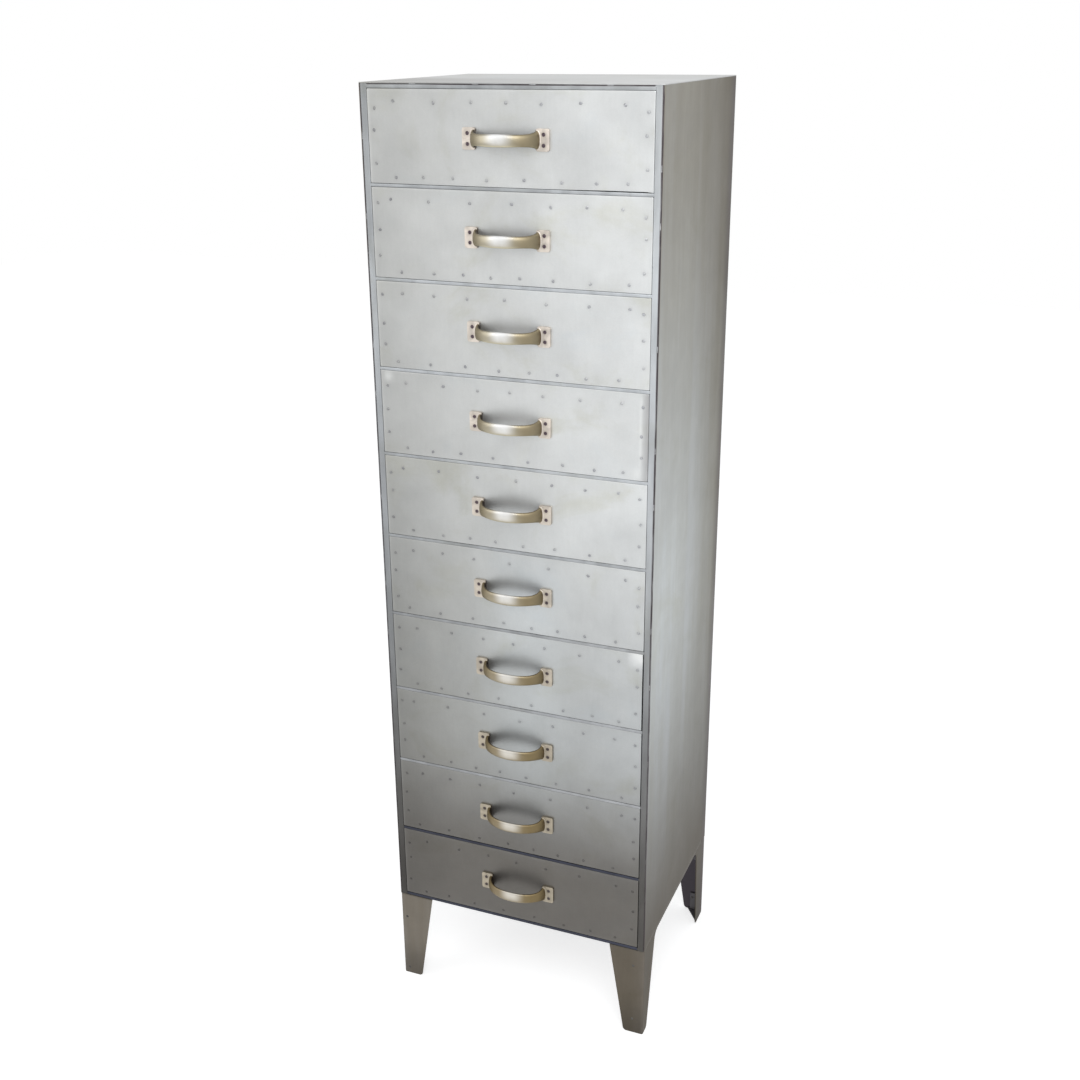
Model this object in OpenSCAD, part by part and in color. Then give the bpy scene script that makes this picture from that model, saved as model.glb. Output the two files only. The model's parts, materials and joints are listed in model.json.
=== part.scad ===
// Tall cabinet of ten drawers in tack-welded sheet steel.
// Each side sheet runs down into two folded legs. Inside it, corner posts of angle carry
// the rails and the runners. Each drawer is a folded tray with a riveted front pan and a
// cast bow handle.
// Millimetres. X to the right, Y to the back, Z up. The origin is on the floor, under the
// middle of the whole cabinet, handles included.

/* [Carcass] */
// Width over the side sheets
case_w = 406; // [380:1:420]
// Depth from the drawer fronts to the back sheet
case_d = 332; // [290:1:350]
// Thickness of the side, top, back and bottom sheets
sheet_t = 1.2; // [0.8:0.1:1.6]
// Thickness of the posts' and rails' angle
angle_t = 2; // [1.5:0.1:2.5]
// Face width of a corner post, seen beside the drawers
stile_w = 9.3; // [8:0.1:11]
// Length of a post's other leg, along the side sheet
post_side_w = 20; // [18:1:26]
// Radius of the outer edge of the posts and the front top rail
heel_r = 1.4; // [1:0.1:1.8]

/* [Legs] */
// Height of the legs, up to the lower edge of the case
leg_h = 152; // [120:1:170]
// Width of a leg's front or back flange at the case
flange_top_w = 55; // [45:1:65]
// Width of the same flange at the floor
flange_foot_w = 31; // [26:1:40]
// Width of a front leg's side flange at the case
front_side_top_w = 54; // [45:1:62]
// Width of the same flange at the floor
front_side_foot_w = 19; // [17:1:30]
// Width of a rear leg's side flange at the case
rear_side_top_w = 50; // [45:1:62]
// Width of the same flange at the floor
rear_side_foot_w = 40; // [26:1:44]
// Outer radius of the fold between a leg's flanges
leg_bend_r = 2.4; // [2:0.1:4]
// Radius between a leg's side flange and the lower edge of the side sheet
leg_fillet_r = 16; // [8:1:24]
// Radius of a flange's free corner at the floor
foot_corner_r = 6; // [3:0.5:8]

/* [Rails and runners] */
// Height of the bar between two drawers
rail_h = 4; // [3:0.5:6]
// Depth of that bar
rail_d = 12; // [10:1:12]
// Height of the face of the bottom rails
bottom_rail_h = 5; // [5:0.5:18]
// Height of the face of the top rails
top_rail_h = 5.8; // [5:0.1:8]
// Depth of the flat leg of the top and bottom rails
rail_flat_d = 18; // [14:1:18]
// Width of a runner's ledge
runner_w = 20; // [16:1:24]
// Height of a runner's web, beside the tray
runner_web = 13; // [8:1:20]
// Thickness of a runner
runner_t = 1.5; // [1:0.1:2]

/* [Drawers] */
// Height of a drawer front
front_h = 114.5; // [100:0.5:130]
// Gap between a drawer front and the rail above or below it
front_gap = 1.5; // [1:0.1:2.5]
// Gap between a drawer front and the post beside it
side_gap = 2; // [1.2:0.1:3]
// Depth of the front pan's folded edges
pan_d = 12; // [12:1:14]
// Thickness of the front pan
pan_t = 1.2; // [0.8:0.1:1.6]
// Outer radius of the front pan's folds
pan_bend_r = 1.8; // [1.7:0.1:2.4]
// Thickness of the tray
tray_t = 1; // [0.8:0.1:1.5]
// Outer radius of the tray's folds and corners
tray_bend_r = 2; // [1.7:0.1:2.6]
// Free space above the tray, inside the front pan
tray_drop = 8; // [6:1:20]
// Free space behind the tray
tray_back_gap = 8; // [4:1:30]
// Height of the tray's folded rim
rim_h = 8; // [5:1:12]

/* [Handles] */
// Width of the whole handle
handle_w = 117; // [100:1:130]
// Height of a foot plate
foot_h = 27; // [24:1:34]
// Width of a foot plate
foot_w = 18; // [17:1:20]
// Thickness of a foot plate
foot_t = 3; // [2.5:0.1:4]
// Corner radius of a foot plate
foot_r = 2.5; // [1:0.1:4]
// How far the bow stands out from the drawer front
bow_reach = 31; // [24:1:38]
// Height of the bow at its middle
bow_mid_h = 15.5; // [12:0.5:18]
// Height of the bow at its two necks
bow_neck_h = 12.5; // [9:0.5:14]
// Height of the bow where it runs into a foot plate
bow_root_h = 24; // [18:0.5:24]
// Thickness of the bow
bow_t = 5; // [4:0.5:6]
// Squareness of the bow seen from above: 2 is an ellipse, more is squarer
bow_square = 2.1; // [2:0.1:3]

/* [Fasteners] */
// Radius of a rivet's shank
rivet_r = 1.5; // [1:0.1:1.8]
// Radius of a rivet's head
rivet_head_r = 2.1; // [1.9:0.1:3]
// Height of a rivet's head
rivet_head_h = 0.6; // [0.3:0.1:1]
// How far a rivet may stray from its even place, as punched by hand
rivet_stray = 7; // [0:1:9]
// Radius of a handle screw's shank
screw_r = 1.7; // [1.2:0.1:1.9]
// Radius of a handle screw's head
screw_head_r = 2.4; // [2.2:0.1:3]

/* [Hidden] */
$fn = 48;
drawer_count = 10;
eps = 0.01;
// A foot corner's arc is this much larger than its radius, so that it cuts both edges cleanly
arc_play = 0.02;

// Outer radius of a runner's fold
runner_bend_r = 1;
// Clearance of a shank in its hole
hole_play = 0.1;
// Depth of a handle screw's countersink and of its slot
sink_d = 1.6;
slot_d = 0.8;
slot_w = 0.7;
screw_pitch = 13;
screw_inset = 7.3;
// Hexagon nuts of the handle screws: width across flats, height, and play on the screw
nut_w = 7;
nut_h = 2.4;
nut_play = 0.05;
// How far a handle screw reaches past its nut
screw_end = 0.6;
// A rivet's tail, beaten flat inside
tail_r = 2.2;
tail_h = 0.8;

// Main planes. The handles stand in front of front_y.
front_y = bow_reach - (case_d + bow_reach) / 2;
back_y = front_y + case_d;
side_x = case_w / 2;
inner_x = side_x - sheet_t;
post_x = inner_x - angle_t;
opening_x = inner_x - stile_w;

// Heights, from the floor up
drawer_pitch = front_h + rail_h + 2 * front_gap;
first_front_z = leg_h + bottom_rail_h + front_gap;
top_rail_z = first_front_z + drawer_count * drawer_pitch - rail_h - front_gap;
roof_z = top_rail_z + top_rail_h;
wall_h = roof_z - leg_h;

// Drawer 1 is the top one. Its tray lies in the front pan, on the pan's lower fold.
function front_z(k) = first_front_z + (drawer_count - k) * drawer_pitch;
front_x = opening_x - side_gap;
tray_x = front_x - pan_t;
front_grip = pan_t + tray_t;
tray_h = front_h - 2 * pan_t - tray_drop;
tray_d = case_d - pan_t - sheet_t - tray_back_gap;

// The sole plates and gussets stand inside the legs' folds.
sole_t = 2;
sole_tab_w = 18;
sole_tab_h = 34;
gusset_t = 1.5;
gusset_w = 26;
gusset_h = 50;
leg_rivet_in = 13;
leg_rivet_low = 18;
leg_rivet_high = 116;
leg_rivet_stray = [4, 7];

// Rows of rivets in a drawer front, from its edges
rivet_top_n = 7;
rivet_bottom_n = 8;
rivet_top_in = 15;
rivet_bottom_in = 7.5;
rivet_side_in = 7.5;
rivet_end_in = 33;
rivet_side_z = [27, 62, 94];

// Tack welds, along the groove beside a post and below the roof
tack_len = 8;
tack_w = 0.6 * heel_r;
tack_roof_x = [-127, -40, 36, 136];

// Numbers of rings along the bow and of points in a ring
bow_rings = 28;
bow_sides = 16;
// The bow's roots lie this far in front of the drawer, inside the foot plates, and this far
// inwards of the plates' middles, so that each plate seems to turn outwards into the bow.
bow_root = 1;
bow_root_in = 7.5;
bow_x = (handle_w - foot_w) / 2 - bow_root_in;
// Shares of the bow's thickness outside and inside its line
bow_out = 0.6;
bow_in = 0.4;
bow_line_reach = bow_reach - bow_out * bow_t - bow_root;
// How much thicker the bow gets at its roots, on its outer side
root_swell = 2;
// Roundness of the bow's section, and how fast its flare dies away from the root
bow_round = 0.85;
flare_power = 2;

steel = "#b4b8b8";
steel_dark = "#8f8f8a";
steel_inner = "#9a9d9d";
brass = "#b8a888";
rivet_grey = "#6f7070";
bronze = "#4c4038";

function two_digits(k) = k < 10 ? str("0", k) : str(k);
function numbered(name, k) = str(name, "_", two_digits(k));
DRAWER_PARTS = ["drawer_box", "drawer_front", "handle", "drawer_fasteners"];

// ---- Helpers ----

// A small repeatable error, the same each time for the same seed
function stray(seed, amount) = amount * sin(seed * 137.5);

// Draws its children on the right, or mirrored on the left
module on_side(side) {
    if (side > 0) children();
    else mirror([1, 0, 0]) children();
}

// Draws its children at the front corner on the right, or mirrored at the back
module at_end(end) {
    if (end < 0) translate([0, front_y, 0]) children();
    else translate([0, back_y, 0]) mirror([0, 1, 0]) children();
}

// A square corner at the origin less a quarter circle: what rounding the corner removes
module corner_waste(r) {
    difference() {
        square(r);
        translate([r, r]) circle(r);
    }
}

// Section of angle along +X and +Y, with its outer edge at the origin rounded
module angle_section(x_leg, y_leg, t, r) {
    difference() {
        square([x_leg, y_leg]);
        translate([t, t]) square([x_leg, y_leg]);
        corner_waste(r);
    }
}

// Section through a sheet folded up at two edges, as a full block: its face is on y = 0
module folded_section(w, d, r) {
    difference() {
        square([w, d]);
        corner_waste(r);
        translate([w, 0]) mirror([1, 0]) corner_waste(r);
    }
}

// A sheet folded up at all four edges, as a full block: its face is on y = 0, w wide and h
// high, its flanges are d deep, and its folds have the radius r
module folded_block(w, h, d, r) {
    intersection() {
        linear_extrude(h) folded_section(w, d, r);
        translate([w, 0, 0]) rotate([0, -90, 0]) linear_extrude(w) folded_section(h, d, r);
    }
}

module rounded_rect(w, h, r) {
    square([w - 2 * r, h], center = true);
    square([w, h - 2 * r], center = true);
    for (x = [-1, 1], y = [-1, 1])
        translate([x * (w / 2 - r), y * (h / 2 - r)]) circle(r);
}

// ---- Legs ----

// Outline of a tapered flange, from the fold at x = 0 to its free edge. fillet_r rounds its
// inner corner with the case's lower edge, corner_r its free corner at the floor.
module flange_outline(top_w, foot_w, fillet_r, corner_r) {
    edge = norm([top_w - foot_w, leg_h]);
    out = [leg_h, foot_w - top_w] / edge;
    slope = (top_w - foot_w) / leg_h;

    fillet_touch_z = leg_h - fillet_r * (1 + out[1]);
    fillet_touch = [foot_w + slope * fillet_touch_z, fillet_touch_z];
    fillet_centre = fillet_touch + fillet_r * out;

    corner_touch_z = corner_r * (1 + out[1]);
    corner_touch = [foot_w + slope * corner_touch_z, corner_touch_z];
    corner_centre = corner_touch - corner_r * out;

    difference() {
        polygon([[0, 0], [foot_w, 0], [top_w, leg_h], [0, leg_h]]);
        difference() {
            polygon([[foot_w, 0], corner_touch, corner_centre, [corner_centre[0], 0]]);
            translate(corner_centre) circle(corner_r + arc_play);
        }
    }
    if (fillet_r > 0)
        difference() {
            polygon([[top_w, leg_h], [fillet_centre[0], leg_h], fillet_centre, fillet_touch]);
            translate(fillet_centre) circle(fillet_r);
        }
}

// Plan of a leg: two flanges of sheet, folded round leg_bend_r at the origin
module fold_plan(front_w, side_w) {
    difference() {
        square([front_w, side_w]);
        corner_waste(leg_bend_r);
        translate([sheet_t, sheet_t]) difference() {
            square([front_w, side_w]);
            corner_waste(leg_bend_r - sheet_t);
        }
    }
}

// A leg, with its fold at the origin, its front flange along +X and its side flange along +Y
module leg(side_top_w, side_foot_w) {
    side_w = side_top_w + 2 * leg_fillet_r;
    intersection() {
        linear_extrude(leg_h) fold_plan(flange_top_w, side_w);
        translate([0, side_w + 1, 0]) rotate([90, 0, 0])
            linear_extrude(side_w + 2)
                flange_outline(flange_top_w, flange_foot_w, 0, foot_corner_r);
        translate([-1, 0, 0]) rotate([90, 0, 90])
            linear_extrude(flange_top_w + 2)
                flange_outline(side_top_w, side_foot_w, leg_fillet_r, foot_corner_r);
    }
}

// Draws its children at each leg's fold, with the side flange's foot width in $foot_w
module at_legs(sides = [-1, 1], ends = [-1, 1]) {
    for (side = sides, end = ends) {
        $foot_w = end < 0 ? front_side_foot_w : rear_side_foot_w;
        $side = side;
        on_side(side) at_end(end)
            translate([side_x, 0, 0]) mirror([1, 0, 0]) children();
    }
}

// ---- Carcass ----

module side_panel(side) {
    color(steel) union() {
        on_side(side) translate([inner_x, front_y, leg_h])
            cube([sheet_t, case_d, wall_h]);
        difference() {
            union() {
                at_legs([side], [-1]) leg(front_side_top_w, front_side_foot_w);
                at_legs([side], [1]) leg(rear_side_top_w, rear_side_foot_w);
            }
            at_legs([side]) leg_rivet_holes();
        }
    }
}

module side_panel_left() { side_panel(-1); }
module side_panel_right() { side_panel(1); }

module back_panel() {
    color(steel_dark) translate([-inner_x, back_y - sheet_t, leg_h])
        cube([2 * inner_x, sheet_t, wall_h]);
}

module top_panel() {
    color(steel) translate([-side_x, front_y, roof_z])
        cube([case_w, case_d, sheet_t]);
}

// The floor sheet lies on the bottom rails' flat legs and is notched round the posts.
module bottom_panel() {
    rear_y = back_y - sheet_t;
    color(steel_inner) translate([0, 0, leg_h + angle_t]) linear_extrude(sheet_t) {
        translate([-opening_x, front_y + angle_t])
            square([2 * opening_x, rear_y - front_y - 2 * angle_t]);
        translate([-inner_x, front_y + post_side_w])
            square([2 * inner_x, rear_y - front_y - 2 * post_side_w]);
    }
}

// A post's rounded edge leaves a groove beside the side sheet's edge.
module corner_post(side, end) {
    set_back = end < 0 ? 0 : sheet_t;
    color(steel_inner) on_side(side) at_end(end)
        translate([inner_x, set_back, leg_h]) mirror([1, 0, 0])
            linear_extrude(wall_h) angle_section(stile_w, post_side_w, angle_t, heel_r);
}

module front_post_left() { corner_post(-1, -1); }
module front_post_right() { corner_post(1, -1); }
module rear_post_left() { corner_post(-1, 1); }
module rear_post_right() { corner_post(1, 1); }

// A bar of angle between two posts: its face is upright, its flat leg points inwards
module rail_bar(face_h, r) {
    translate([-opening_x, 0, 0]) rotate([90, 0, 90]) linear_extrude(2 * opening_x)
        angle_section(rail_flat_d, face_h, angle_t, r);
}

module top_rails() {
    color(steel_inner) for (end = [-1, 1])
        at_end(end) translate([0, end < 0 ? 0 : sheet_t, roof_z])
            mirror([0, 0, 1]) rail_bar(top_rail_h, heel_r);
}

module bottom_rails() {
    color(steel_inner) for (end = [-1, 1])
        at_end(end) translate([0, end < 0 ? 0 : sheet_t, leg_h])
            rail_bar(bottom_rail_h, heel_r);
}

// A bar whose ends are notched round the posts
module divider_rail() {
    translate([-opening_x, front_y, 0]) cube([2 * opening_x, rail_d, rail_h]);
    translate([-post_x, front_y + angle_t, 0])
        cube([2 * post_x, rail_d - angle_t, rail_h]);
}

module divider_rails() {
    color(steel_inner) for (k = [2:drawer_count])
        translate([0, 0, front_z(k) + front_h + front_gap]) divider_rail();
}

// The ledge carries the tray's floor, and its front end stops the front pan's lower fold. The
// web stands on the ledge's outer edge, beside the tray.
module runner() {
    start_y = front_y + pan_d;
    end_y = back_y - sheet_t - angle_t;
    translate([post_x, end_y, 0]) rotate([90, 0, 0]) linear_extrude(end_y - start_y)
        mirror([1, 0]) angle_section(runner_w, runner_web, runner_t, runner_bend_r);
}

module runners(side) {
    color(steel_inner) for (k = [1:drawer_count])
        on_side(side) translate([0, 0, front_z(k) + pan_t - runner_t]) runner();
}

module runners_left() { runners(-1); }
module runners_right() { runners(1); }

// A triangular sole that closes the foot, with a tab riveted to the leg's front flange
module foot_plate(foot_side_w) {
    sole_x = flange_foot_w - foot_corner_r;
    sole_y = foot_side_w - foot_corner_r;
    bend = leg_bend_r;
    linear_extrude(sole_t)
        polygon([[bend, sheet_t], [sole_x, sheet_t], [sheet_t, sole_y], [sheet_t, bend]]);
    translate([bend, sheet_t, 0]) cube([sole_tab_w, sole_t, sole_tab_h]);
}

module foot_plates() {
    color(steel_dark) at_legs() difference() {
        foot_plate($foot_w);
        leg_rivet_holes();
    }
}

// A short angle inside the top of each leg
module leg_gusset() {
    translate([sheet_t, sheet_t, leg_h - gusset_h]) linear_extrude(gusset_h)
        angle_section(gusset_w, gusset_w, gusset_t, leg_bend_r - sheet_t);
}

module leg_gussets() {
    color(steel_dark) at_legs() difference() {
        leg_gusset();
        leg_rivet_holes();
    }
}

// Draws its children on a leg's front flange, at the rivet whose even height is z
module at_leg_rivet(z) {
    translate([leg_rivet_in + $side * leg_rivet_stray[0], 0, z + $side * leg_rivet_stray[1]])
        children();
}

// The lower rivet holds the sole's tab, and the upper one the gusset.
module leg_rivet_holes() {
    for (z = [leg_rivet_low, leg_rivet_high]) at_leg_rivet(z)
        shank_hole(sheet_t + sole_t, rivet_r + hole_play);
}

// A hole along +Y, through sheets whose face is at y = 0 and whose thickness is grip
module shank_hole(grip, r) {
    translate([0, -1, 0]) rotate([-90, 0, 0]) cylinder(h = grip + 2, r = r);
}

// A rivet through the same sheets. Its head is a cap of a ball, and its tail is beaten flat.
module rivet(grip) {
    ball_r = (pow(rivet_head_r, 2) + pow(rivet_head_h, 2)) / (2 * rivet_head_h);
    rotate([90, 0, 0]) rotate_extrude() intersection() {
        translate([0, rivet_head_h - ball_r]) circle(ball_r);
        square(rivet_head_r + 1);
    }
    rotate([-90, 0, 0]) {
        cylinder(h = grip + tail_h, r = rivet_r);
        translate([0, 0, grip]) cylinder(h = tail_h, r1 = tail_r, r2 = rivet_r);
    }
}

module leg_rivets() {
    color(rivet_grey) at_legs() {
        at_leg_rivet(leg_rivet_low) rivet(sheet_t + sole_t);
        at_leg_rivet(leg_rivet_high) rivet(sheet_t + gusset_t);
    }
}

// A bead of weld that fills a short stretch of a groove, along Z from the origin
module tack() {
    translate([0, 0, -tack_len / 2]) linear_extrude(tack_len) difference() {
        square(tack_w);
        translate([heel_r, heel_r]) circle(heel_r);
    }
}

module tack_welds() {
    color(steel_dark) {
        for (side = [-1, 1], k = [1:drawer_count])
            on_side(side)
                translate([inner_x, front_y, front_z(k) + front_h / 2 + stray(k + side, 30)])
                    mirror([1, 0, 0]) tack();
        for (x = tack_roof_x)
            translate([x, front_y, roof_z]) rotate([0, 90, 0]) tack();
    }
}

// ---- Drawers ----

// Places of the rivets in drawer k's front, from the middle of its lower edge
function rivet_row(n, z, k, seed) =
    let (end_x = front_x - rivet_end_in)
    [for (i = [0:n - 1]) [
        -end_x + 2 * end_x * i / (n - 1) + stray(seed + 7 * k + 3 * i, rivet_stray),
        z + stray(seed + 5 * k + i, rivet_stray / 7)
    ]];

function rivet_column(side, k) =
    [for (i = [0:len(rivet_side_z) - 1]) [
        side * (front_x - rivet_side_in) + stray(k + i, rivet_stray / 7),
        rivet_side_z[i] + stray(11 * k + 4 * i + side, rivet_stray / 2)
    ]];

function rivet_places(k) = concat(
    rivet_row(rivet_top_n, front_h - rivet_top_in, k, 1),
    rivet_row(rivet_bottom_n, rivet_bottom_in, k, 2),
    rivet_column(-1, k),
    rivet_column(1, k)
);

// Draws its children at each handle screw, from the middle of the handle
module screw_places() {
    for (x = [-1, 1], z = [-1, 1])
        translate([x * (handle_w / 2 - screw_inset), 0, z * screw_pitch / 2]) children();
}

// Moves its children to drawer k's front, at the middle of its lower edge
module at_front(k) {
    translate([0, front_y, front_z(k)]) children();
}

// The holes of drawer k's rivets and handle screws, through the pan and the tray's front wall
module fastener_holes(k) {
    for (place = rivet_places(k))
        translate([place[0], 0, place[1]]) shank_hole(front_grip, rivet_r + hole_play);
    translate([0, 0, front_h / 2]) screw_places() shank_hole(front_grip, screw_r + hole_play);
}

module drawer_front(k) {
    color(steel) at_front(k) difference() {
        translate([-front_x, 0, 0]) folded_block(2 * front_x, front_h, pan_d, pan_bend_r);
        translate([-tray_x, pan_t, pan_t])
            folded_block(2 * tray_x, front_h - 2 * pan_t, pan_d, pan_bend_r - pan_t);
        fastener_holes(k);
    }
}

// The tray as a full block, cut back by inset at its floor and walls
module tray_block(inset, h) {
    w = 2 * (tray_x - inset);
    depth = tray_d - 2 * inset;
    r = tray_bend_r - inset;
    translate([0, tray_d / 2, inset]) intersection() {
        translate([-w / 2, depth / 2, 0]) rotate([90, 0, 0]) folded_block(w, depth, h, r);
        linear_extrude(h) rounded_rect(w, depth, r);
    }
}

// A folded tray: its front wall is riveted to the pan, and its other walls have a doubled rim
module drawer_box(k) {
    rim_x = tray_x - 2 * tray_t;
    rim_depth = tray_d - 3 * tray_t;
    color(steel_inner) at_front(k) difference() {
        translate([0, pan_t, pan_t]) difference() {
            tray_block(0, tray_h);
            tray_block(tray_t, tray_h - rim_h - tray_t);
            translate([-rim_x, tray_t, tray_h - rim_h - eps])
                cube([2 * rim_x, rim_depth, rim_h + 1]);
        }
        fastener_holes(k);
    }
}

// The line of the bow from above: a superellipse from one foot plate to the other.
// Each point is [across, out].
function bow_angle(i) = 90 * (1 - cos(180 * i / bow_rings));
function bow_rise(a) = pow(abs(sin(a)), 2 / bow_square);
function bow_point(a) = [
    -bow_x * sign(cos(a)) * pow(abs(cos(a)), 2 / bow_square),
    bow_root + bow_line_reach * bow_rise(a)
];
// Unit direction across the line, away from the drawer
function bow_normal(a) =
    let (along = bow_point(min(a + 1, 180)) - bow_point(max(a - 1, 0)))
    [-along[1], along[0]] / norm(along);

// The bow swells at its middle and flares where it runs into the foot plates.
function bow_flare(a) = pow(1 - bow_rise(a), flare_power);
function bow_height(a) =
    bow_neck_h
    + (bow_mid_h - bow_neck_h) * pow(sin(a), 2)
    + (bow_root_h - bow_neck_h) * bow_flare(a);

// One ring of the bow: a rounded D, fuller on its outer side
function bow_ring(a) =
    let (centre = bow_point(a), normal = bow_normal(a), h = bow_height(a) / 2)
    [for (j = [0:bow_sides - 1])
        let (
            c = cos(360 * j / bow_sides),
            s = sin(360 * j / bow_sides),
            half_t = c > 0 ? bow_t * bow_out + root_swell * bow_flare(a) : bow_t * bow_in,
            off = half_t * sign(c) * pow(abs(c), bow_round)
        )
        [
            centre[0] + off * normal[0],
            -centre[1] - off * normal[1],
            h * sign(s) * pow(abs(s), bow_round)
        ]
    ];

module bow() {
    points = [for (i = [0:bow_rings]) each bow_ring(bow_angle(i))];
    sides = [for (i = [0:bow_rings - 1], j = [0:bow_sides - 1])
        let (next = (j + 1) % bow_sides, ring = i * bow_sides)
        [ring + j, ring + next, ring + next + bow_sides, ring + j + bow_sides]
    ];
    start = [for (j = [bow_sides - 1:-1:0]) j];
    end = [for (j = [0:bow_sides - 1]) bow_rings * bow_sides + j];
    polyhedron(points, concat([start], sides, [end]));
}

// A cast bow pull: two screwed foot plates and a bow between them
module handle(k) {
    color(brass) at_front(k) translate([0, 0, front_h / 2]) difference() {
        union() {
            for (side = [-1, 1])
                translate([side * (handle_w - foot_w) / 2, 0, 0]) rotate([90, 0, 0])
                    linear_extrude(foot_t) rounded_rect(foot_w, foot_h, foot_r);
            bow();
        }
        screw_places() rotate([90, 0, 0]) {
            translate([0, 0, -1]) cylinder(h = foot_t + 2, r = screw_r + hole_play);
            translate([0, 0, foot_t - sink_d])
                cylinder(h = sink_d + eps, r1 = screw_r + hole_play, r2 = screw_head_r + hole_play);
        }
    }
}

// A slotted countersunk screw, with its head's face at the front of a foot plate
module screw(turn) {
    shank_in = front_grip + nut_h + screw_end;
    rotate([90, 0, 0]) difference() {
        union() {
            translate([0, 0, -shank_in]) cylinder(h = shank_in + foot_t - sink_d / 2, r = screw_r);
            translate([0, 0, foot_t - sink_d]) cylinder(h = sink_d, r1 = screw_r, r2 = screw_head_r);
        }
        translate([0, 0, foot_t]) rotate([0, 0, turn])
            cube([3 * screw_head_r, slot_w, 2 * slot_d], center = true);
    }
}

// A hexagon nut, against the inside of the tray's front wall
module nut() {
    translate([0, front_grip, 0]) rotate([-90, 0, 0]) difference() {
        cylinder(h = nut_h, d = nut_w / cos(30), $fn = 6);
        translate([0, 0, -1]) cylinder(h = nut_h + 2, r = screw_r + nut_play);
    }
}

module drawer_fasteners(k) {
    color(rivet_grey) at_front(k) for (place = rivet_places(k))
        translate([place[0], 0, place[1]]) rivet(front_grip);
    color(bronze) at_front(k) translate([0, 0, front_h / 2]) screw_places() {
        screw(stray(k, 90));
        nut();
    }
}

// ---- Nodes ----

side_panel_left();
side_panel_right();
back_panel();
top_panel();
bottom_panel();
front_post_left();
front_post_right();
rear_post_left();
rear_post_right();
top_rails();
bottom_rails();
divider_rails();
runners_left();
runners_right();
foot_plates();
leg_gussets();
leg_rivets();
tack_welds();
for (k = [1:drawer_count]) {
    drawer_box(k);
    drawer_front(k);
    handle(k);
    drawer_fasteners(k);
}
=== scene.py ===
"""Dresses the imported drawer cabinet: burnished sheet steel, riveted drawer fronts and cast brass
pulls. Lengths are in metres and places are in the part's frame: X right, Y back, Z up."""
import json
import math
from functools import cached_property

import bmesh
import bpy
from mathutils import Matrix, Vector, noise


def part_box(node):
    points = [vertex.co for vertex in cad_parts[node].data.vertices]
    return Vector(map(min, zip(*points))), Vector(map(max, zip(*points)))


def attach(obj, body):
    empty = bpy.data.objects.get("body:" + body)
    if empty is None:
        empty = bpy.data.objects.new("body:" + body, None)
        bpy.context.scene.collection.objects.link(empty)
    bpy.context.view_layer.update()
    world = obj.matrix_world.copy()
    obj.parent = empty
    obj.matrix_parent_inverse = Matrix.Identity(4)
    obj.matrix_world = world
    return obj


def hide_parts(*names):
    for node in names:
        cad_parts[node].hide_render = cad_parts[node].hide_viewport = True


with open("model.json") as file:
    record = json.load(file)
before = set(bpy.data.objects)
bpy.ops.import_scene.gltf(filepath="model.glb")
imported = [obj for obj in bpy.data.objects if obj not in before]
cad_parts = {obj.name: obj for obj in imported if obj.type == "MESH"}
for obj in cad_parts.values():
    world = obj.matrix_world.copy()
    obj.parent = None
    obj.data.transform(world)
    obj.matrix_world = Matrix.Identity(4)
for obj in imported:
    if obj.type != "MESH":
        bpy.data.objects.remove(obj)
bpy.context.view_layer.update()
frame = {"nodes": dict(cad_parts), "record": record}

MM = 0.001
GOLDEN_ANGLE = math.radians(137.5)

# ---- The cabinet's planes and sizes, from the frame ----

roof_low, roof_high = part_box("top_panel")
post_low, post_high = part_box("front_post_right")
SIDE_X, FRONT_Y, BACK_Y, TOP_Z = roof_high.x, roof_low.y, roof_high.y, roof_high.z
SHEET = roof_high.z - roof_low.z
LEG_TOP = post_low.z
CASE_TOP = post_high.z
POST_X = post_low.x
DRAWERS = range(1, 11)        # from the top one to the lowest
BODY_OF = {
    node: body
    for body, nodes in frame["record"]["behaviour"]["bodies"].items()
    for node in nodes
}

# Legs: widths of the flanges at the case and at the floor, and their roundings
FLANGE_TOP, FLANGE_FOOT = 55 * MM, 31 * MM
FRONT_SIDE_TOP, FRONT_SIDE_FOOT = 54 * MM, 19 * MM
REAR_SIDE_TOP, REAR_SIDE_FOOT = 50 * MM, 40 * MM
LEG_BEND, LEG_FILLET, FOOT_CORNER = 2.4 * MM, 16 * MM, 6 * MM

# Drawer fronts: the folded pan, its gaps in the opening, and the tray's wall behind it
PAN_SHEET, PAN_BEND = 1.2 * MM, 1.3 * MM
SIDE_GAP, RAIL_GAP, LEAST_GAP = 2 * MM, 1.5 * MM, 0.05 * MM
TRAY_SHEET = 1.0 * MM
FRONT_GRIP = PAN_SHEET + TRAY_SHEET

# Handles: the foot plates, the bow's line, its thickness with the share outside its line, its
# heights, the screws and their nuts
HANDLE_W, PLATE_W, PLATE_H, PLATE_T = 117 * MM, 18 * MM, 27 * MM, 3 * MM
PLATE_ROUND = 2.5 * MM
BOW_X, BOW_ROOT, BOW_LINE = 42 * MM, 1 * MM, 27 * MM
BOW_SQUARE, BOW_ROUND = 2.1, 0.85
BOW_T, BOW_OUTER, ROOT_SWELL = 5 * MM, 0.6, 2 * MM
BOW_MID_H, BOW_NECK_H, BOW_ROOT_H = 15.5 * MM, 12.5 * MM, 24 * MM
SCREW_X, SCREW_Z = HANDLE_W / 2 - 7.3 * MM, 6.5 * MM
SCREW_PLACES = [(x, z) for x in (-SCREW_X, SCREW_X) for z in (-SCREW_Z, SCREW_Z)]
SCREW_R, SCREW_HEAD_R, SINK = 1.7 * MM, 2.4 * MM, 1.6 * MM
SLOT_W, SLOT_DEPTH = 0.7 * MM, 0.7 * MM
NUT_W, NUT_H, SCREW_END = 7 * MM, 2.4 * MM, 0.6 * MM

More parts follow.
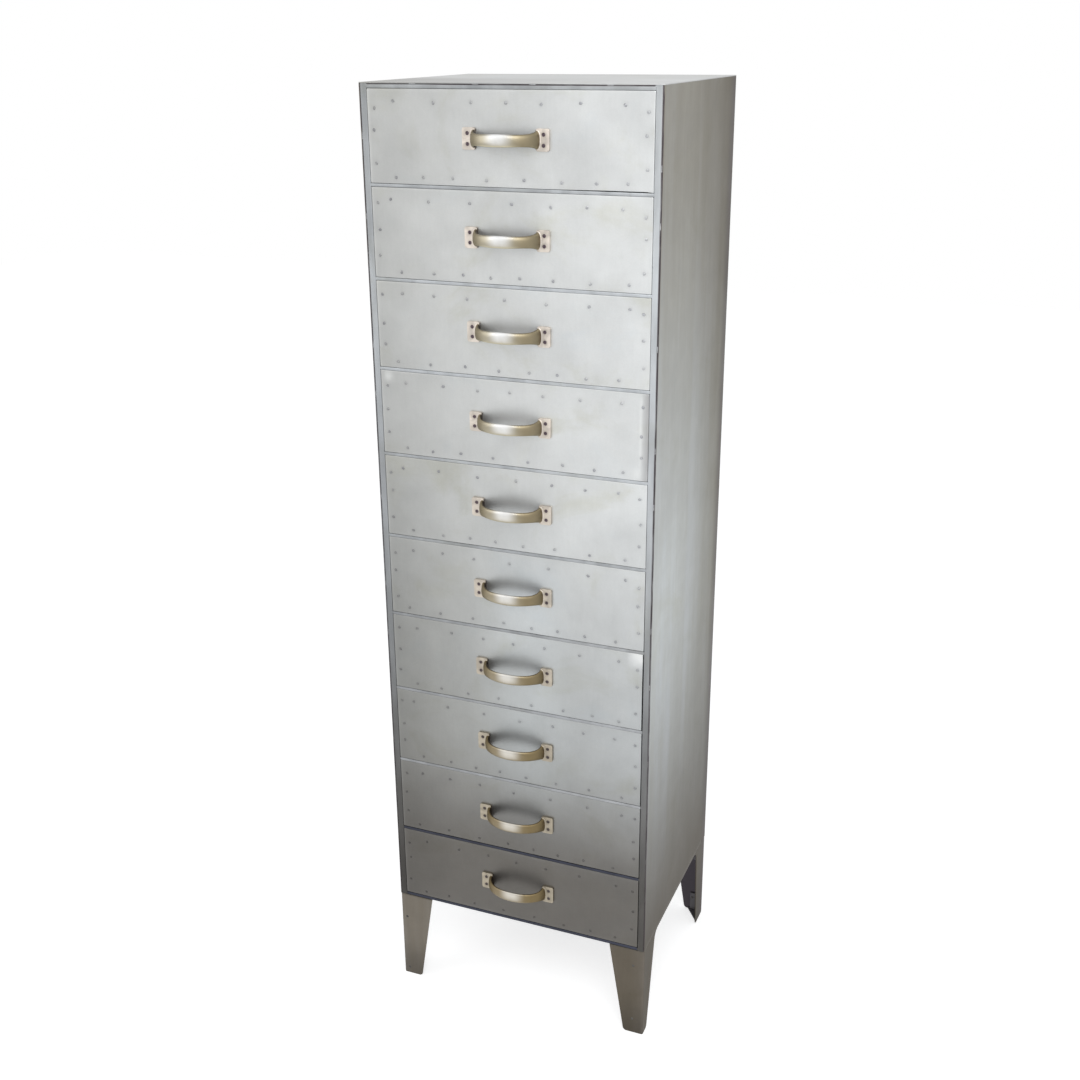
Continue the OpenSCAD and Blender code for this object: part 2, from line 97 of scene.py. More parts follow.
# Rivets: their sizes, how many are in the rows of a front, and how far they are from its edges
RIVET_R, RIVET_HEAD_R, RIVET_HEAD_H, RIVET_STRAY = 1.5 * MM, 2.1 * MM, 0.6 * MM, 7 * MM
TAIL_R, TAIL_H = 2.2 * MM, 0.8 * MM
UPPER_RIVETS, UPPER_INSET = 7, 15 * MM
LOWER_RIVETS, LOWER_INSET = 8, 7.5 * MM
ROW_INSET, COLUMN_INSET = 33 * MM, 7.5 * MM
COLUMN_HEIGHTS = 27 * MM, 62 * MM, 94 * MM

# Meshes: how near to each other points are merged, how wide the edges of sheets, bars and trays
# are rounded, the steps of the round shapes, and the share of its width that keeps a dressed
# side sheet inside the case
MERGE = 0.01 * MM
SHEET_EDGE, BAR_EDGE, TRAY_EDGE = 0.25 * MM, 0.3 * MM, 0.2 * MM
CORNER_STEPS, FILLET_STEPS = 6, 8
FLANGE_STEPS, FOLD_STEPS, LEG_SIDE_STEPS = 9, 6, 10
BOW_RINGS, BOW_SIDES, SCREW_SIDES, RIVET_SIDES = 80, 32, 24, 16
KEPT_IN = 0.9999


# ---- Names, places and numbers ----

def seq(prefix, k):
    return f"{prefix}_{k:02d}"


FRONT_BOX = {k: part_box(seq("drawer_front", k)) for k in DRAWERS}


def front_middle(k):
    """The middle of drawer k's front, on its face."""
    low, high = FRONT_BOX[k]
    return Vector((0, low.y, (low.z + high.z) / 2))


def stray(seed, amount):
    """A small repeatable error, the same each time for the same seed."""
    return amount * math.sin(seed * GOLDEN_ANGLE)


def smooth(low, high, value):
    """0 below low, 1 above high, and a soft step between."""
    t = min(1.0, max(0.0, (value - low) / (high - low)))
    return t * t * (3 - 2 * t)


def clear_of(margin, *distances):
    """1 where every distance is over margin, and softly down to 0 where one of them is 0."""
    return math.prod(smooth(0, margin, distance) for distance in distances)


def hill(value, centre, width):
    """1 at the centre, and falling away on both sides."""
    return math.exp(-((value - centre) / width) ** 2)


def swell(point, size, seed):
    """Soft noise from -1 to 1 whose hills are about size apart."""
    return noise.noise(Vector(point) / size + Vector((seed, -seed, 2.3 * seed)))


def steps(low, high, spacing):
    """Even values from low to high, no further apart than spacing."""
    n = max(1, math.ceil((high - low) / spacing - 1e-9))
    return [low + (high - low) * i / n for i in range(n + 1)]


def quarter_turn(n):
    """The angles from 0 to 90 degrees in n steps."""
    return [math.pi / 2 * i / n for i in range(n + 1)]


def full_turn(n):
    """The angles of n even places round a circle."""
    return [2 * math.pi * i / n for i in range(n)]


# ---- Mesh helpers ----

def patch(bm, rows):
    """A grid of faces through rows of points."""
    verts = [[bm.verts.new(p) for p in row] for row in rows]
    for low, high in zip(verts, verts[1:]):
        for a, b, c, d in zip(low, low[1:], high[1:], high):
            bm.faces.new((a, b, c, d))


def tube(bm, rings, closed=False):
    """A closed skin through rings of points: its ends are capped, or joined if closed."""
    verts = [[bm.verts.new(p) for p in ring] for ring in rings]
    n = len(verts[0])
    for low, high in zip(verts, verts[1:] + verts[:1] if closed else verts[1:]):
        for j in range(n):
            bm.faces.new((low[j], low[(j + 1) % n], high[(j + 1) % n], high[j]))
    if not closed:
        bm.faces.new(verts[0][::-1])
        bm.faces.new(verts[-1])


def turned(bm, profile, x=0.0, z=0.0):
    """A solid turned about a line along Y. Its profile is pairs of radius and y."""
    angles = full_turn(SCREW_SIDES)
    tube(bm, [[(x + r * math.cos(a), y, z + r * math.sin(a)) for a in angles] for r, y in profile])


def block(bm, size, centre):
    """A box of this size round the centre. Returns its corners."""
    corners = bmesh.ops.create_cube(bm, size=1)["verts"]
    bmesh.ops.scale(bm, verts=corners, vec=size)
    bmesh.ops.translate(bm, verts=corners, vec=centre)
    return corners


def link(name, data):
    """A new object in the scene, with this mesh, lamp or camera as its data."""
    made = bpy.data.objects.new(name, data)
    bpy.context.scene.collection.objects.link(made)
    return made


def make_object(name, bm):
    """A new object in the scene with the bmesh's shape, which ends the bmesh."""
    mesh = bpy.data.meshes.new(name)
    bm.to_mesh(mesh)
    bm.free()
    return link(name, mesh)


def modify(obj, kind, **settings):
    """Runs one modifier on the object and keeps its result as the mesh."""
    modifier = obj.modifiers.new(kind, kind)
    for key, value in settings.items():
        setattr(modifier, key, value)
    bpy.context.view_layer.update()
    evaluated = obj.evaluated_get(bpy.context.evaluated_depsgraph_get())
    mesh = bpy.data.meshes.new_from_object(evaluated)
    obj.modifiers.clear()
    mesh.name = obj.name
    obj.data = mesh


def cut(obj, cutter):
    """Takes the cutter's shape out of the object and removes the cutter."""
    modify(obj, "BOOLEAN", operation="DIFFERENCE", object=cutter, solver="EXACT")
    bpy.data.objects.remove(cutter)


def soften(obj, width):
    """Rounds the object's sharp edges."""
    modify(
        obj, "BEVEL", width=width, segments=2, limit_method="ANGLE",
        angle_limit=math.radians(50), use_clamp_overlap=True, miter_outer="MITER_ARC",
    )


def thicken(obj, thickness):
    """Gives an open surface the sheet's thickness on its inner side, with softened edges."""
    modify(obj, "SOLIDIFY", thickness=thickness, offset=-1, use_even_offset=True)
    soften(obj, SHEET_EDGE)
    return obj


def set_marks(obj, grime_and_shade, sheen_mark):
    """Writes how dark each point is, from dirt and painted shade, and how strong its painted
    highlight is, as attributes that the finishes read.
    """
    for name, rule in (("grime_and_shade", grime_and_shade), ("sheen_mark", sheen_mark)):
        layer = obj.data.attributes.new(name, "FLOAT", "POINT")
        layer.data.foreach_set("value", [rule(v.co) for v in obj.data.vertices])


def none(point):
    return 0.0


def finish_piece(obj, material, body, nodes):
    """Shades the piece, gives it its finish and fixes it to its body, in place of the nodes."""
    obj.data.materials.clear()
    obj.data.materials.append(material)
    obj.data.shade_smooth()
    obj.data.set_sharp_from_angle(angle=math.radians(40))
    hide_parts(*nodes)
    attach(obj, body)


# ---- Colours, in linear light ----
# A pair is for the left and the right, or for below and above. A brass pair is for the lower
# handles and the upper ones. METAL is how metallic the steel is, under its film of wax.

METAL = 0.85

OLIVE, BLUISH = (0.78, 0.76, 0.62), (0.86, 0.93, 1.0)
# Below: dirt together with painted shade, the painted shade of grooves and dark edges, and the
# painted highlight of folds and bends.
GRIME_AND_SHADE, GROOVE_SHADE, PAINTED_SHEEN = (0.17, 0.16, 0.165), (0.075, 0.062, 0.068), (0.86, 0.87, 0.86)

# The fronts are painted darker towards the feet, as shade, and lighter on the right, as light; the
# last colour is a painted highlight near the middle of the lower drawers.
FRONT_LOW = (0.142, 0.134, 0.123)
FRONT_MIDDLE = (0.285, 0.285, 0.27), (0.44, 0.455, 0.46)
FRONT_UPPER = (0.455, 0.46, 0.45), (0.71, 0.725, 0.725)
FRONT_PAINTED_GLEAM = (1.16, 1.18, 1.20)

# The sides and legs are painted darker towards the floor, as shade, and the rear legs' inner faces
# nearly black, as shade.
SIDE_LOW = (0.094, 0.081, 0.062)
SIDE_UPPER = (0.547, 0.582, 0.606), (0.292, 0.282, 0.251)
SIDE_REAR = (1.0, 1.0, 1.0), (0.239, 0.192, 0.10)
SIDE_STREAK = (1.0, 0.975, 0.90)
SIDE_GLANCE = (0.64, 0.63, 0.62), (0.90, 0.90, 0.90)
LEG_FLANGE = (0.175, 0.158, 0.136), (0.128, 0.112, 0.092)
LEG_INSIDE_SHADE = (0.045, 0.05, 0.07)

BACK_TONES = (0.17, 0.16, 0.14), (0.33, 0.33, 0.31)
ROOF_NEAR, ROOF_FAR = ((0.36, 0.36, 0.35), (0.56, 0.57, 0.57)), (0.52, 0.53, 0.53)
INNER_TONES = (0.075, 0.075, 0.085), (0.28, 0.28, 0.275)

# The frame is painted darker towards the floor, as shade; the brighter rail colour is painted light
# on the lower rails, and the nearly black one painted shade round the lowest drawer.
FRAME_TONES, FRAME_TOP = ((0.073, 0.069, 0.064), (0.44, 0.46, 0.478)), (0.355, 0.37, 0.38)
RAIL_PAINTED_LIGHT, RAIL_PAINTED_SHADE = (0.37, 0.38, 0.395), (0.045, 0.048, 0.066)

# Shares of the fronts' and the frame's colours: the dirtiest and the cleanest rivets, the low
# ones and the welds
RIVET_SHARE, RIVET_LOW = ((0.58, 0.58, 0.61), (0.75, 0.75, 0.76)), (0.9, 0.9, 0.9)
WELD_SHARE = (0.95, 0.94, 0.93)

SCREW_TONES = (0.10, 0.085, 0.08), (0.13, 0.10, 0.115)

# The lower handles' colours are darker, which is painted shade. The underside colour is a painted
# reflection, the nearly white one a painted highlight, the dark ones behind and inward painted
# shade, and the last one dirt with painted shade.
BRASS_CAST = (0.235, 0.19, 0.12), (0.38, 0.345, 0.265)
BRASS_UNDER_REFLECTION = (0.30, 0.25, 0.155), (0.62, 0.57, 0.40)
BRASS_ARM = (0.185, 0.14, 0.07), (0.24, 0.20, 0.125)
BRASS_HIGHLIGHT = (0.60, 0.57, 0.51), (0.84, 0.845, 0.84)
BRASS_PLATE = (0.40, 0.355, 0.28), (0.68, 0.62, 0.555)
BRASS_BEHIND_SHADE, BRASS_INWARD_SHADE = (0.085, 0.055, 0.035), (0.045, 0.032, 0.02)
BRASS_GRIME_AND_SHADE = (0.10, 0.075, 0.06)


# ---- Materials ----

class Tree:
    """A short way to write the nodes of a material or of the world."""

    def __init__(self, owner):
        owner.use_nodes = True
        self.owner = owner
        self.nodes, self.links = owner.node_tree.nodes, owner.node_tree.links
        self.nodes.clear()

    @cached_property
    def coordinates(self):
        return self.add("ShaderNodeTexCoord").outputs

    def add(self, kind, inputs=None, **settings):
        """A new node. Each of its inputs takes a plain value or another node's output."""
        made = self.nodes.new(kind)
        for key, value in settings.items():
            setattr(made, key, value)
        for key, value in (inputs or {}).items():
            if isinstance(value, bpy.types.NodeSocket):
                self.links.new(value, made.inputs[key])
            else:
                made.inputs[key].default_value = value
        return made

    def math(self, operation, *values, clamp=False):
        made = self.add(
            "ShaderNodeMath", dict(enumerate(values)), operation=operation, use_clamp=clamp
        )
        return made.outputs[0]

    def product(self, total, *factors):
        for factor in factors:
            total = self.math("MULTIPLY", total, factor)
        return total

    def varied(self, value, pattern, amount):
        """The value, raised and lowered by a noise pattern."""
        return self.math("ADD", value, self.product(self.math("SUBTRACT", pattern, 0.5), amount))

    def axis(self, name, kind="Object"):
        """One coordinate of the place, or with the kind Normal of the way that it faces."""
        return self.add("ShaderNodeSeparateXYZ", {0: self.coordinates[kind]}).outputs[name]

    def ramp(self, value, low, high, out_low=0.0, out_high=1.0):
        """A soft step from out_low to out_high as value goes from low to high."""
        made = self.add(
            "ShaderNodeMapRange",
            {"Value": value, "From Min": low, "From Max": high, "To Min": out_low,
             "To Max": out_high},
            interpolation_type="SMOOTHSTEP",
        )
        return made.outputs[0]

    def band(self, value, start, rise, fall, end):
        """1 from rise to fall, and softly down to 0 at start and end."""
        return self.math("MINIMUM", self.ramp(value, start, rise), self.ramp(value, end, fall))

    def noise(self, scale, detail=3.0, rough=0.55, stretch=None, warp=0.0, seed=None):
        """A cloudy pattern round 0.5. Its clouds are about 1 / scale metres wide."""
        at = self.coordinates["Object"]
        if stretch:
            at = self.add("ShaderNodeMapping", {"Vector": at, "Scale": stretch}).outputs[0]
        inputs = {"Vector": at, "Scale": scale, "Detail": detail, "Roughness": rough,
                  "Distortion": warp}
        if seed is not None:
            inputs["W"] = seed
        made = self.add(
            "ShaderNodeTexNoise", inputs,
            noise_dimensions="3D" if seed is None else "4D",
        )
        return made.outputs["Fac"]

    def mix(self, share, a, b, blend="MIX"):
        """Colour a where share is 0, and b where it is 1."""
        a, b = ((*colour, 1) if isinstance(colour, tuple) else colour for colour in (a, b))
        made = self.add("ShaderNodeMix", {0: share, 6: a, 7: b}, data_type="RGBA", blend_type=blend)
        return made.outputs[2]

    def tinted(self, colour, tint, share=1.0):
        """The colour times the tint, as far as share says."""
        return self.mix(share, colour, tint, "MULTIPLY")

    def scaled(self, colour, factor):
        """The colour times a number that comes from a node."""
        made = self.add("ShaderNodeVectorMath", {0: colour, "Scale": factor}, operation="SCALE")
        return made.outputs[0]

    def attribute(self, name):
        return self.add("ShaderNodeAttribute", attribute_name=name).outputs["Fac"]

    def marked(self, name, pattern, low, high, out_low, out_high):
        """How strong the mesh's attribute is at a place, in patches that follow the pattern."""
        patchy = self.ramp(pattern, low, high, out_low, out_high)
        return self.math("MULTIPLY", self.attribute(name), patchy, clamp=True)

    def bump(self, height, distance, strength, below=None):
        inputs = {"Height": height, "Distance": distance, "Strength": strength}
        if below is not None:
            inputs["Normal"] = below
        return self.add("ShaderNodeBump", inputs).outputs[0]

    def metal(self, colour, roughness, normal, metallic=METAL, glance=None):
        """Ends the tree with a metal. glance is how much it shines at a low angle."""
        inputs = {"Base Color": colour, "Roughness": roughness, "Normal": normal,
                  "Metallic": metallic}
        if glance is not None:
            inputs["Specular Tint"] = glance
        shader = self.add("ShaderNodeBsdfPrincipled", inputs)
        self.add("ShaderNodeOutputMaterial", {"Surface": shader.outputs[0]})
        return self.owner


def sheet_seed(t):
    """A number of its own for each drawer front, since each is cut from another sheet. The
    fronts are counted upwards, from a little below the lowest one."""
    low, above = FRONT_BOX[10][0].z, FRONT_BOX[9][0].z
    level = t.math("DIVIDE", t.math("SUBTRACT", t.axis("Z"), low - 3 * MM), above - low)
    return t.product(t.math("FLOOR", level), 3.7)


def steel(name, tone, warm=0.25, rough=0.42, contrast=1.0, own_sheets=False, darkened=None, glance=None):
    """Bare rolled steel, waxed and rubbed: cloudy patches over a fine vertical grain, olive and
    bluish stains, and dirt, painted shade and painted highlights where the mesh's attributes say.
    tone gives its colour, the function for dark places says where grooves carry painted shade, and
    glance how much it shines at a low angle."""
    t = Tree(bpy.data.materials.new(name))
    seed = sheet_seed(t) if own_sheets else None
    clouds = t.noise(9.0, detail=4.0, rough=0.5, warp=0.6, seed=seed)
    patches = t.noise(28.0, detail=5.0, rough=0.6, seed=seed)
    stains = t.noise(6.0, detail=6.0, rough=0.62, warp=1.2, seed=seed, stretch=(1, 1, 1.4))
    grain = t.noise(240.0, detail=2.0, stretch=(1, 1, 0.12))
    specks = t.noise(700.0, detail=1.0)
    light = t.varied(1.0, clouds, 0.34 * contrast)
    light = t.varied(light, patches, 0.22 * contrast)
    light = t.varied(light, grain, 0.05 if own_sheets else 0.10 * contrast)
    light = t.varied(light, specks, 0.08 * contrast)
    colour = t.scaled(tone(t), light)
    colour = t.tinted(colour, OLIVE, t.ramp(stains, 0.50, 0.72, 0.0, warm))
    colour = t.tinted(colour, BLUISH, t.ramp(stains, 0.46, 0.30, 0.0, 0.5 * warm))
    # Dirt with painted shade, then the painted shade of grooves, then painted highlights on folds
    # and bends.
    grime_and_shade = t.marked("grime_and_shade", patches, 0.25, 0.6, 0.75, 1.1)
    colour = t.mix(grime_and_shade, colour, GRIME_AND_SHADE)
    if darkened:
        colour = t.mix(darkened(t), colour, GROOVE_SHADE)
    colour = t.mix(t.marked("sheen_mark", patches, 0.3, 0.7, 0.5, 1.0), colour, PAINTED_SHEEN)
    roughness = t.math("ADD", t.varied(rough, clouds, 0.25), t.product(grime_and_shade, 0.25))
    bumpy = t.bump(patches, 0.5 * MM, 0.25)
    normal = t.bump(grain, 0.06 * MM, 0.2 if own_sheets else 0.35, bumpy)
    return t.metal(colour, roughness, normal, glance=glance(t) if glance else None)


def front_tone(t):
    """Bright above and painted darker towards the feet, as shade, and painted lighter on the right.
    There is a painted gleam near the middle of the lower drawers, painted shade at the far left, and
    the top is a little darker."""
    x, z = t.axis("X"), t.axis("Z")
    # Painted darker towards the feet, as shade, and lighter on the right, as light.
    across = t.ramp(x, -SIDE_X - 60 * MM, SIDE_X + 60 * MM)
    colour = t.mix(t.ramp(z, 0.24, 0.50), FRONT_LOW, t.mix(across, *FRONT_MIDDLE))
    colour = t.mix(t.ramp(z, 0.45, 0.98), colour, t.mix(across, *FRONT_UPPER))
    # A painted highlight near the middle of the lower drawers.
    painted_gleam = t.product(t.band(x, -75 * MM, 10 * MM, 20 * MM, 105 * MM),
                      t.band(z, 0.28, 0.42, 0.65, 0.82))
    colour = t.tinted(colour, FRONT_PAINTED_GLEAM, painted_gleam)
    # Painted shade at the far left.
    left = t.product(t.ramp(x, -80 * MM, -SIDE_X), t.ramp(z, 0.95, 0.7, 0.08, 0.20))
    dull = t.ramp(z, 1.15, TOP_Z, 1.0, 0.94)
    return t.scaled(colour, t.product(t.math("SUBTRACT", 1.0, left), dull))


def side_tone(t):
    """Brightest near the front edge and halfway up, brown above and at the back, and painted dark
    brown towards the floor, as shade.
    The legs' front flanges are darker, with painted shade towards the floor; the insides of the rear
    ones are painted nearly black, as shade;
    the rear legs carry painted shade towards the floor; and streaks run down."""
    y, z = t.axis("Y"), t.axis("Z")
    on_leg = t.ramp(z, LEG_TOP, LEG_TOP - 3 * MM)
    # Painted darker towards the floor, as shade.
    colour = t.mix(t.ramp(z, 0.069, 0.753), SIDE_LOW, t.mix(t.ramp(z, 0.60, 1.394), *SIDE_UPPER))
    colour = t.tinted(colour, t.mix(t.ramp(z, 0.10, 0.684), *SIDE_REAR),
                      t.ramp(y, FRONT_Y + 50 * MM, BACK_Y + 90 * MM))
    flange = t.mix(t.ramp(t.axis("X"), -0.1, 0.1), *LEG_FLANGE)
    # Painted shade on the front flanges towards the floor.
    flange = t.scaled(flange, t.ramp(z, 0.0, 85 * MM, 0.66, 1.0))
    in_front = t.product(on_leg, t.ramp(y, FRONT_Y + 3 * MM, FRONT_Y + 1 * MM))
    colour = t.mix(in_front, colour, flange)
    # The rear legs' inner faces, painted nearly black as shade.
    rear_face = t.band(y, BACK_Y - 2.6 * MM, BACK_Y - 1.4 * MM, BACK_Y - 0.8 * MM, BACK_Y - 0.4 * MM)
    colour = t.mix(t.product(on_leg, rear_face), colour, LEG_INSIDE_SHADE)
    streaks = t.noise(26.0, detail=3.0, stretch=(1, 1, 0.07))
    colour = t.tinted(colour, SIDE_STREAK, t.ramp(streaks, 0.62, 0.38, 0.0, 0.6))
    # Painted shade on the rear legs towards the floor.
    rear_leg_shade = t.product(t.ramp(z, LEG_TOP, 0.0, 0.0, 0.4), t.ramp(y, 0.0, 60 * MM))
    light = t.product(t.ramp(streaks, 0.3, 0.7, 0.93, 1.07), t.math("SUBTRACT", 1.0, rear_leg_shade))
    return t.scaled(colour, light)


def side_groove_shade_and_dark_rear(t):
    """Painted shade on the front edge of a side sheet, in the post's groove, and a darkening towards
    its rear edge.
    """
    y = t.axis("Y")
    rim = t.product(t.ramp(y, FRONT_Y + 0.25 * MM, FRONT_Y + 0.05 * MM),
                    t.ramp(t.axis("Z"), LEG_TOP, LEG_TOP + 5 * MM),
                    t.ramp(t.noise(30.0, detail=2.0), 0.35, 0.6, 0.65, 0.95))
    return t.math("MAXIMUM", rim, t.ramp(y, BACK_Y - 34 * MM, BACK_Y - 5 * MM, 0.0, 0.6))


def side_glance(t):
    """How much the side shines at a low angle: less in its dull lower part."""
    return t.mix(t.ramp(t.axis("Z"), 0.15, 0.75), *SIDE_GLANCE)


def back_tone(t):
    return t.mix(t.ramp(t.axis("Z"), 0.15, 0.8), *BACK_TONES)


def roof_tone(t):
    near = t.mix(t.ramp(t.axis("X"), -SIDE_X, SIDE_X), *ROOF_NEAR)
    return t.mix(t.ramp(t.axis("Y"), -60 * MM, 60 * MM), near, ROOF_FAR)


def frame_tone(t):
    """The posts and rails, a little bluer than the sheets, painted darker towards the floor and
    lighter on the right, as shade and light.
    The lower rails are painted brighter than the posts beside them, as light, and nearly black round
    the lowest drawer, as shade."""
    x, z = t.axis("X"), t.axis("Z")
    # Painted darker towards the floor, as shade.
    colour = t.mix(t.ramp(z, 0.16, 1.05), *FRAME_TONES)
    colour = t.mix(t.ramp(z, 1.10, 1.34), colour, FRAME_TOP)
    on_rail = t.ramp(t.math("ABSOLUTE", x), POST_X, POST_X - 2 * MM)
    # Painted light on the lower rails.
    painted_light = t.product(on_rail, t.band(z, 0.31, 0.36, 0.55, 0.75), 0.8)
    colour = t.mix(painted_light, colour, RAIL_PAINTED_LIGHT)
    # Painted shade round the lowest drawer.
    colour = t.mix(t.product(on_rail, t.ramp(z, 0.31, 0.295)), colour, RAIL_PAINTED_SHADE)
    streak = t.ramp(t.noise(22.0, detail=2.0, stretch=(2, 1, 0.5)), 0.3, 0.7, 0.88, 1.12)
    # Painted lighter on the right.
    across = t.math("MULTIPLY_ADD", t.math("DIVIDE", x, SIDE_X), 0.14, 1.0)
    return t.scaled(colour, t.product(streak, across))


def frame_groove_shade(t):
    """Painted shade in the grooves beside the posts and below the roof, in patches."""
    x, z = t.axis("X"), t.axis("Z")
    away, groove = t.math("ABSOLUTE", x), SIDE_X - SHEET
    beside = t.product(t.ramp(away, groove - 1.9 * MM, groove - 1.0 * MM),
                       t.ramp(z, 0.25, 0.7, 0.3, 0.95), t.ramp(x, -0.1, 0.1, 0.55, 1.0))
    below = t.product(t.ramp(z, CASE_TOP - 2.1 * MM, CASE_TOP - 1.2 * MM),
                      t.ramp(away, POST_X, POST_X - 2 * MM))
    patchy = t.ramp(t.noise(18.0, detail=3.0), 0.32, 0.55, 0.65, 1.0)
    return t.product(t.math("MAXIMUM", beside, below), patchy)


def inner_tone(t):
    """Nearly black below the case, in the shade between the legs."""
    return t.mix(t.ramp(t.axis("Z"), LEG_TOP - 1 * MM, LEG_TOP), *INNER_TONES)


def small_metal(name, tone, rough=0.5):
    """Rivets, screws and welds: a little blotched. tone gives their colour."""
    t = Tree(bpy.data.materials.new(name))
    blotch = t.noise(900.0, detail=3.0)
    colour = t.scaled(tone(t), t.ramp(blotch, 0.3, 0.7, 0.7, 1.3))
    return t.metal(colour, t.varied(rough, blotch, 0.3), t.bump(blotch, 0.1 * MM, 0.4))


def rivet_tone(t):
    """The fronts' steel with dirt on it, on some rivets more than on others."""
    share = t.mix(t.ramp(t.noise(40.0, detail=1.0), 0.35, 0.65), *RIVET_SHARE)
    share = t.mix(t.ramp(t.axis("Z"), 0.9, 0.5, 0.0, 0.4), share, RIVET_LOW)
    return t.tinted(front_tone(t), share)


def screw_tone(t):
    return t.mix(t.ramp(t.axis("Z"), 0.3, 1.0), *SCREW_TONES)


def weld_tone(t):
    return t.tinted(frame_tone(t), WELD_SHARE)


def aged_brass():
    """Cast brass: a painted highlight nearly white along the middle of the bow, a painted reflection
    golden below, golden brown arms, and painted shade behind and on the arms' inner sides. The lower
    handles are painted darker, as shade."""
    t = Tree(bpy.data.materials.new("aged_brass"))
    cast = t.noise(420.0, detail=4.0)
    cloud = t.math("SUBTRACT", t.noise(60.0, detail=4.0, warp=0.8), 0.5)
    across, up = t.axis("X"), t.axis("Z", "Normal")
    outward = t.math("ADD", t.product(t.axis("Y", "Normal"), -1.0), t.product(cloud, 0.5))
    from_middle = t.product(t.axis("X", "Normal"), t.math("SIGN", across))
    # The lower handles are painted darker, as shade.
    height_share = t.ramp(t.axis("Z"), 0.30, 1.05)
    colour = t.mix(height_share, *BRASS_CAST)
    # Faces that look down carry a painted reflection.
    colour = t.mix(t.ramp(up, -0.25, -0.75), colour, t.mix(height_share, *BRASS_UNDER_REFLECTION))
    arm = t.ramp(t.math("ABSOLUTE", t.math("ADD", across, 4 * MM)), 14 * MM, 36 * MM, 0.0, 0.85)
    colour = t.mix(arm, colour, t.mix(height_share, *BRASS_ARM))
    # A painted highlight along the upper middle of the bow.
    upward = t.math("ADD", up, t.product(outward, 0.5))
    middle = t.ramp(t.math("ABSOLUTE", t.math("SUBTRACT", across, 1 * MM)), 22 * MM, 3 * MM)
    painted_light = t.product(t.ramp(upward, -0.1, 0.8), middle)
    colour = t.mix(painted_light, colour, t.mix(height_share, *BRASS_HIGHLIGHT))
    # Painted shade on faces that look back, and on the arms' inner sides.
    colour = t.mix(t.ramp(outward, 0.42, -0.1, 0.0, 0.9), colour, BRASS_BEHIND_SHADE)
    colour = t.mix(t.ramp(from_middle, -0.15, -0.6, 0.0, 0.95), colour, BRASS_INWARD_SHADE)
    plate_y = FRONT_Y - PLATE_T
    plate = t.product(t.ramp(t.math("ABSOLUTE", across), BOW_X - 2 * MM, BOW_X),
                      t.ramp(t.axis("Y"), plate_y - 1.5 * MM, plate_y - 0.3 * MM))
    mottled = t.scaled(t.mix(height_share, *BRASS_PLATE), t.ramp(cloud, -0.2, 0.2, 0.8, 1.12))
    colour = t.mix(plate, colour, mottled)
    # Dirt round the screws and painted shade at the bow's roots.
    colour = t.mix(t.product(t.attribute("grime_and_shade"), 0.7), colour, BRASS_GRIME_AND_SHADE)
    rough = t.math("MULTIPLY_ADD", cloud, 0.25, t.math("MULTIPLY_ADD", arm, 0.2, 0.32))
    return t.metal(colour, rough, t.bump(cast, 0.12 * MM, 0.35), metallic=1.0)


FRONT_STEEL = steel("front_steel", front_tone, warm=0.4, own_sheets=True)
SIDE_STEEL = steel("side_steel", side_tone, darkened=side_groove_shade_and_dark_rear, glance=side_glance)
BACK_STEEL = steel("back_steel", back_tone)
ROOF_STEEL = steel("roof_steel", roof_tone)
FRAME_STEEL = steel("frame_steel", frame_tone, contrast=0.8, rough=0.46, darkened=frame_groove_shade)
INNER_STEEL = steel("inner_steel", inner_tone, rough=0.5)
RIVET_GREY = small_metal("rivet_grey", rivet_tone, 0.6)
SCREW_BRONZE = small_metal("screw_bronze", screw_tone)
WELD_GREY = small_metal("weld_grey", weld_tone, 0.4)
AGED_BRASS = aged_brass()


# ---- Side sheets with their folded legs ----

def flange_width(z, top_w, foot_w, fillet):
    """Width of a leg's flange at height z, with its foot corner and its fillet rounded."""
    lean = (top_w - foot_w) / LEG_TOP
    length = math.hypot(lean, 1.0)
    out_w, out_z = 1 / length, -lean / length
    touch = FOOT_CORNER * (1 + out_z)
    if z < touch:
        centre = foot_w + lean * touch - FOOT_CORNER * out_w
        return centre + math.sqrt(max(0.0, FOOT_CORNER ** 2 - (FOOT_CORNER - z) ** 2))
    touch = LEG_TOP - fillet * (1 + out_z)
    if fillet and z > touch:
        centre = foot_w + lean * touch + fillet * out_w
        return centre - math.sqrt(max(0.0, fillet ** 2 - (z - LEG_TOP + fillet) ** 2))
    return foot_w + lean * z


def leg_heights():
    """Heights of a leg's rows, closer together where its outline is round."""
    corner = [FOOT_CORNER * (1 - math.cos(a)) for a in quarter_turn(CORNER_STEPS)]
    fillet = [LEG_TOP - LEG_FILLET * (1 - math.sin(a)) for a in quarter_turn(FILLET_STEPS)]
    return corner + steps(FOOT_CORNER, LEG_TOP - LEG_FILLET, 6 * MM)[1:-1] + fillet


def leg_rows(side_top, side_foot):
    """Rows of points over one leg. A point is [in from the side, in from the front, z], and a row
    goes from the front flange's free edge, round the fold, to the side flange's free edge."""
    rows = []
    for z in leg_heights():
        front_w = flange_width(z, FLANGE_TOP, FLANGE_FOOT, 0)
        side_w = flange_width(z, side_top, side_foot, LEG_FILLET)
        row = [
            (front_w + (LEG_BEND - front_w) * i / FLANGE_STEPS, 0, z) for i in range(FLANGE_STEPS)
        ]
        for a in quarter_turn(FOLD_STEPS):
            row.append((LEG_BEND * (1 - math.sin(a)), LEG_BEND * (1 - math.cos(a)), z))
        for i in range(1, LEG_SIDE_STEPS + 1):
            row.append((0, LEG_BEND + (side_w - LEG_BEND) * i / LEG_SIDE_STEPS, z))
        rows.append(row)
    return rows


